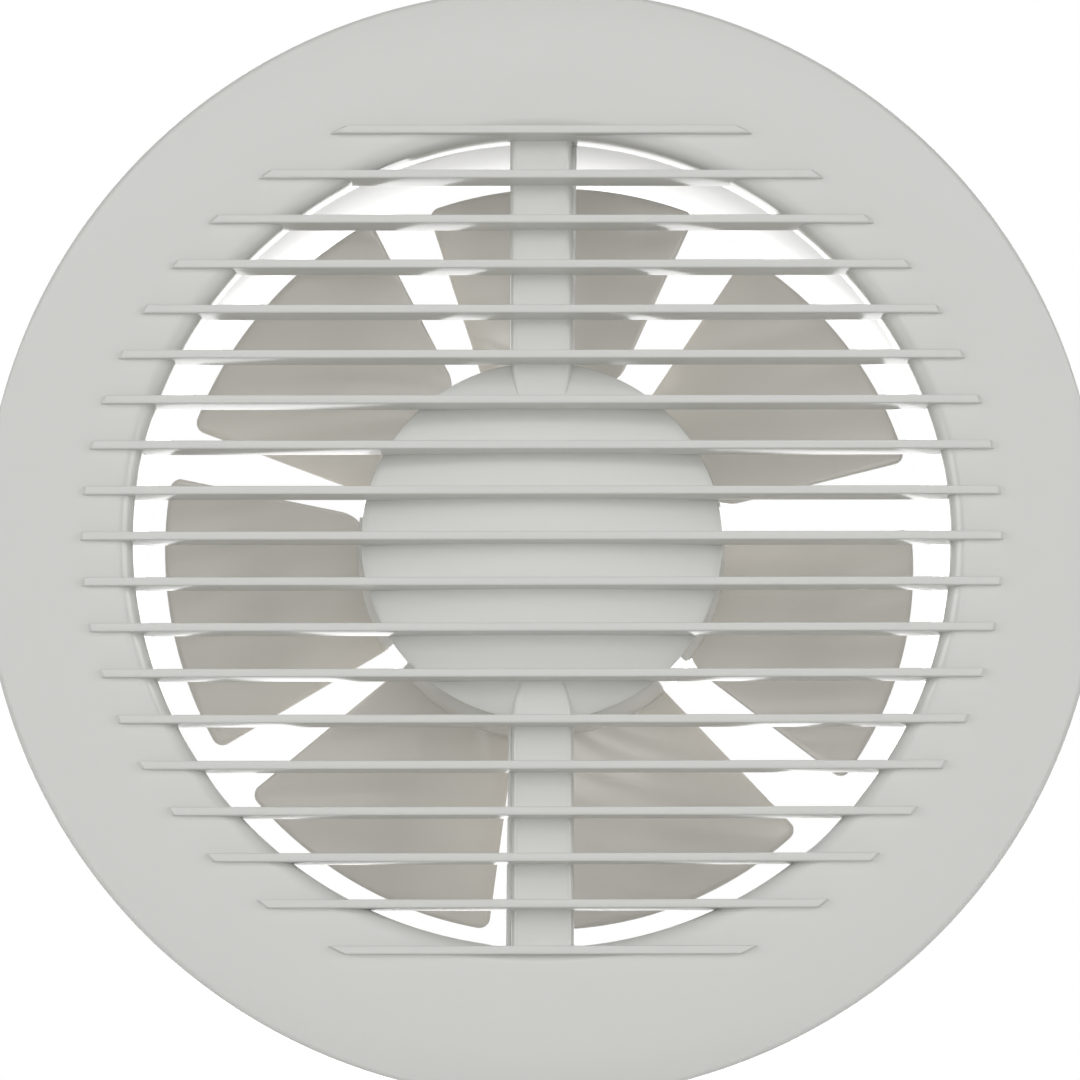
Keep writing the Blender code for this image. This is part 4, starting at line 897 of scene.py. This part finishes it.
def spotTree(name):  # one screw at each point, each turned by chance
    tree = ShapeTree(name, Screw=None, Turn=1.57, Seed=1)
    inputs = tree.inputs
    source = tree.node("GeometryNodeObjectInfo", {"Object": inputs["Screw"]}).outputs["Geometry"]
    # sockets 2 and 3 of a random value are its smallest and largest number
    chance = tree.node("FunctionNodeRandomValue", {2: 0.0, 3: inputs["Turn"], "Seed": inputs["Seed"]},
                       data_type="FLOAT")
    turn = tree.node("ShaderNodeCombineXYZ", {"Y": chance.outputs[1]})
    return tree.coat(tree.copies(inputs["Geometry"], source, Rotation=turn.outputs[0]))


def setScrews(name, screw, places, finish, kind, node):
    mesh = bpy.data.meshes.new(name)
    mesh.from_pydata([place.translation * mm for place in places], [], [])
    item = addObject(name, mesh)
    runTree(item, spotTree(name), {"Screw": screw, "Turn": screws["turn"], "Seed": screws["seed"],
                                   "Material": finishes[finish]}, sharp=35)
    bpy.data.objects.remove(screw, do_unlink=True)
    dress(item, finish, "base", kind, *["%s_%d" % (node, number + 1) for number in range(len(places))])


def setCrossScrews(key, places, node):
    size = screws[key]
    screw = carve(makeObject("screw", drawScrew, size, sharp=35), drawCross, size, sharp=35)
    setScrews(key + "Screws", screw, places, "steel", "steel_screw", node)


def setTerminalScrews():
    size = screws["terminal"]
    places = [blockPlace() @ Matrix.Translation((x, size["depth"], z))
              for z in (-size["across"], size["across"]) for x in (-size["along"], size["along"])]
    screw = carve(makeObject("screw", drawTerminalScrew, size), addBar, screwSlot)
    setScrews("terminalScrews", screw, places, "brass", "terminal_brass", "terminal_screw")


fixing = screws["fixing"]
setCrossScrews("bracket", armPlaces(housing["screwCircle"], screws["bracket"]["seat"]), "bracket_screw")
setCrossScrews("tie", tiePlaces(screws["tie"]["seat"]), "motor_tie_screw")
setCrossScrews("fixing", [blockPlace(fixing["blockSeat"])] + clampPlaces(fixing["clampSeat"]), "fixing_screw")
setTerminalScrews()
print("screws done")


# Shield, shaft and clip

shield = {"rim": 29.6, "front": -3.6, "rear": -2.0, "boss": 6.2, "bossFront": -5.0, "bossRear": -0.4,
          "seat": 4.5, "seatFront": -4.6, "bore": 3.0, "beadInner": 12.0, "beadOuter": 21.0,
          "beadFront": -3.95, "beadSlope": 0.5, "sides": 160}
tiePost = {"inner": 1.6, "outer": 3.0, "front": -2.3, "rear": 1.2, "boreFront": -6.0, "boreRear": 2.0}
shaft = {"radius": 2.0, "front": -5.3, "rear": 32.0, "grooveRadius": 1.8, "grooveFront": 29.65,
         "grooveRear": 30.75, "round": 0.4, "sides": 64}
clip = {"inner": 2.3, "outer": 5.0, "front": 29.8, "rear": 30.6}
clipSlot = {"half": 0.35, "low": -3.6, "high": 3.6, "front": 29.3, "rear": 31.1}


def drawShield(drawing):
    s = shield
    inner, outer, slope = s["beadInner"], s["beadOuter"], s["beadSlope"]
    corners = [(s["bore"], s["bossFront"], 0.2), (s["boss"], s["bossFront"], 0.3),
               (s["boss"], s["front"], 0.5), (inner, s["front"], 0.4), (inner + slope, s["beadFront"], 0.3),
               (outer - slope, s["beadFront"], 0.3), (outer, s["front"], 0.4), (s["rim"], s["front"], 0.4),
               (s["rim"], s["rear"], 0.3), (s["boss"], s["rear"], 0.5), (s["boss"], s["bossRear"], 0.3),
               (s["seat"], s["bossRear"], 0.2), (s["seat"], s["seatFront"], 0),
               (s["bore"], s["seatFront"], 0)]
    addTurned(drawing, softCorners(corners), s["sides"])


def drawPosts(drawing):
    for place in tiePlaces():
        addRing(drawing, tiePost, (0, 0, 0.3, 0), 48, place)


def drawTieHoles(drawing):
    for place in tiePlaces():
        drawHole(drawing, place, tiePost["inner"], tiePost["boreFront"], tiePost["boreRear"])


def drawShaft(drawing):
    s = shaft
    corners = [(0, s["front"], 0), (s["radius"], s["front"], s["round"]), (s["radius"], s["grooveFront"], 0),
               (s["grooveRadius"], s["grooveFront"], 0), (s["grooveRadius"], s["grooveRear"], 0),
               (s["radius"], s["grooveRear"], 0), (s["radius"], s["rear"], s["round"]), (0, s["rear"], 0)]
    addTurned(drawing, softCorners(corners), s["sides"])


def drawClip(drawing):
    addRing(drawing, clip, (0.15, 0.25, 0.25, 0.15), 72)


frontShield = carve(makeObject("frontShield", drawShield), drawTieHoles)
dress(frontShield, "zinc", "base", "shield_zinc", "front_end_shield")
dress(makeObject("shieldPosts", drawPosts), "zinc", "base", "shield_zinc")
dress(makeObject("rotorShaft", drawShaft), "shaft", "rotor", "shaft_steel", "rotor_shaft")
impellerClip = makeObject("impellerClip", drawClip)
for angle in (0, 60, 120):
    carve(impellerClip, addBar, clipSlot, around(angle))
dress(impellerClip, "steel", "rotor", "shaft_steel", "impeller_clip")
print("shield, shaft and clip done")


# Supply side: block, clamp and grommet

block = {"half": 7.5, "high": 4.5, "front": -9.8, "rear": -2.8, "round": 0.8, "screwHole": 1.5,
         "screwFloor": -5.2, "wireHole": 1.3, "wireStart": 2.6, "fixHole": 2.2, "fixFloor": -6.0, "over": 1.0}
clamp = {"half": 3.0, "high": 7.6, "front": -8.6, "rear": -7.0, "round": 1.4}
grommet = {"bore": 3.6, "collar": 7.6, "front": -4.4, "collarRear": -2.8, "neck": 5.7, "rear": -0.3,
           "sides": 96}


def drawBlock(drawing):
    outline = roundedBar(block["half"], block["high"], block["round"])
    addPlate(drawing, [outline], block["front"], block["rear"], blockPlace())


def carveBlock(item):
    b = block
    size = screws["terminal"]
    front = b["front"] - b["over"]
    aside = Matrix.Rotation(math.radians(-90), 4, "Z")
    for z in (-size["across"], size["across"]):
        for side in (-1, 1):
            spot = blockPlace() @ Matrix.Translation((side * size["along"], 0, z))
            carve(item, drawHole, spot, b["screwHole"], front, b["screwFloor"])
            bore = blockPlace() @ aside @ Matrix.Translation((-b["screwFloor"], 0, z))
            ends = sorted((side * b["wireStart"], side * (b["half"] + b["over"])))
            carve(item, drawHole, bore, b["wireHole"], *ends)
    carve(item, drawHole, blockPlace(), b["fixHole"], front, b["fixFloor"])
    carve(item, drawHole, blockPlace(), holes["pilot"], b["fixFloor"] - b["over"], b["rear"] + b["over"])


def drawClamp(drawing):
    outlines = [roundedBar(clamp["half"], clamp["high"], clamp["round"], 6)]
    outlines += [circle(holes["pilot"], 32, 0, side * housing["clampSpacing"] / 2) for side in (-1, 1)]
    addPlate(drawing, outlines, clamp["front"], clamp["rear"],
             around(housing["clampAngle"], housing["clampCircle"]))


def drawGrommet(drawing):
    g = grommet
    corners = [(g["bore"], g["front"], 0.5), (g["collar"], g["front"], 0.7),
               (g["collar"], g["collarRear"], 0.2), (g["neck"], g["collarRear"], 0.3),
               (g["neck"], g["rear"], 0.4), (g["bore"], g["rear"], 0.3)]
    addTurned(drawing, softCorners(corners, 5), g["sides"], inletPlace())


terminalBlock = makeObject("terminalBlock", drawBlock)
carveBlock(terminalBlock)
dress(terminalBlock, "nylon", "base", "terminal_nylon", "terminal_block")
dress(makeObject("cableClamp", drawClamp), "nylon", "base", "clamp_plastic", "cable_clamp")
dress(makeObject("cableGrommet", drawGrommet), "rubber", "base", "grommet_rubber", "cable_grommet")
print("supply side done")


# CAD nodes that keep their shape and get a finish

carried = {
    "steel": ("bearing_retainer_",),
    "lamination": ("stator_core", "rotor_core"),
    "copper": ("stator_coil_",),
    "bronze": ("shaft_bearing_",),
    "aluminium": ("rotor_end_ring_",),
    "nylon": ("coil_bobbin_", "thrust_washer_"),
    "brown": ("lead_live",),
    "blue": ("lead_neutral",),
}
for finish, names in carried.items():
    for name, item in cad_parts.items():
        if name.startswith(names):
            item.material_slots[0].material = finishes[finish]
print("carried nodes finished")


# Light, floor and camera: stage and lamps are in metres and watts, the view in millimetres

stage = {"floor": -0.42, "size": 12.0, "paper": 0.6, "world": 0.12}
lamps = {
    "high": {"place": (0.0, -1.4, 0.85), "aim": (0, 0, 0), "size": (1.6, 0.9), "power": 2.2},
    "left": {"place": (-1.35, -0.95, 0.32), "aim": (0, 0, 0), "size": (0.8, 0.96), "power": 7.35},
    "right": {"place": (1.35, -0.95, 0.32), "aim": (0, 0, 0), "size": (0.8, 0.96), "power": 7.05},
    "front": {"place": (0.0, -1.7, 0.22), "aim": (0, 0, 0), "size": (1.7, 1.0), "power": 6.0},
    "back": {"place": (0.0, 0.9, 0.25), "aim": (0, 0, 0.25), "size": (1.6, 1.1), "power": 8.5},
}
view = {"distance": 907.0, "azimuth": -0.48, "elevation": -7.23, "roll": -0.12, "aim": (-0.39, -14.0, -0.84),
        "sensor": 36.0, "lens": 173.78}


def seenDirectly(tree):  # 1 for what the camera sees at once, in a mirror or through something clear
    path = tree.node("ShaderNodeLightPath").outputs
    seen = path["Is Camera Ray"]
    for kind in ("Is Glossy Ray", "Is Transmission Ray"):
        seen = tree.math("MAXIMUM", seen, path[kind])
    return seen


def buildWorld():
    world = bpy.data.worlds.new("studio")
    bpy.context.scene.world = world
    world.use_nodes = True
    tree = Nodes(world.node_tree)
    tree.nodes.clear()
    level = tree.node("ShaderNodeMapRange", {"Value": seenDirectly(tree), "To Min": stage["world"]})
    back = tree.node("ShaderNodeBackground", {"Color": (1, 1, 1, 1), "Strength": level.outputs["Result"]})
    tree.link(back.outputs[0], tree.node("ShaderNodeOutputWorld").inputs[0])


def addLamp(name, place, aim, size, power):
    data = bpy.data.lights.new(name, "AREA")
    data.shape = "RECTANGLE"
    data.size, data.size_y = size
    data.energy = power
    lamp = addObject(name, data)
    lamp.location = place
    lamp.rotation_euler = (Vector(aim) - Vector(place)).to_track_quat("-Z", "Y").to_euler()
    lamp.visible_camera = False


def buildFloor():
    mesh = bpy.data.meshes.new("floor")
    half = stage["size"] / 2
    corners = [(x * half, y * half, stage["floor"]) for x, y in ((-1, -1), (1, -1), (1, 1), (-1, 1))]
    mesh.from_pydata(corners, [], [(0, 1, 2, 3)])
    floor = addObject("floor", mesh)
    made = Finish("floorPaper", 0.9, specular=0.1)
    fibre = made.noise(made.place(), 900.0, 3.0)
    made.colour(made.mix(fibre, tinted((0.84, 0.84, 0.83)), tinted((0.88, 0.88, 0.87))))
    glow = made.math("MULTIPLY", seenDirectly(made), stage["paper"])
    made.link(glow, made.shader.inputs["Emission Strength"])
    made.shader.inputs["Emission Color"].default_value = tinted((1, 1, 1))
    mesh.materials.append(made.material)


def buildCamera():
    data = bpy.data.cameras.new("camera")
    data.sensor_width = view["sensor"]
    data.lens = view["lens"]
    camera = addObject("camera", data)
    turn, rise = math.radians(view["azimuth"]), math.radians(view["elevation"])
    back = Vector((math.sin(turn) * math.cos(rise), -math.cos(turn) * math.cos(rise), math.sin(rise)))
    camera.location = (Vector(view["aim"]) + back * view["distance"]) * mm
    upright = back.to_track_quat("Z", "Y").to_matrix()
    camera.rotation_euler = (upright @ Matrix.Rotation(math.radians(view["roll"]), 3, "Z")).to_euler()
    bpy.context.scene.camera = camera


buildWorld()
buildFloor()
for name, lamp in lamps.items():
    addLamp(name + "Light", **lamp)
buildCamera()
bpy.context.scene.view_settings.view_transform = "Standard"
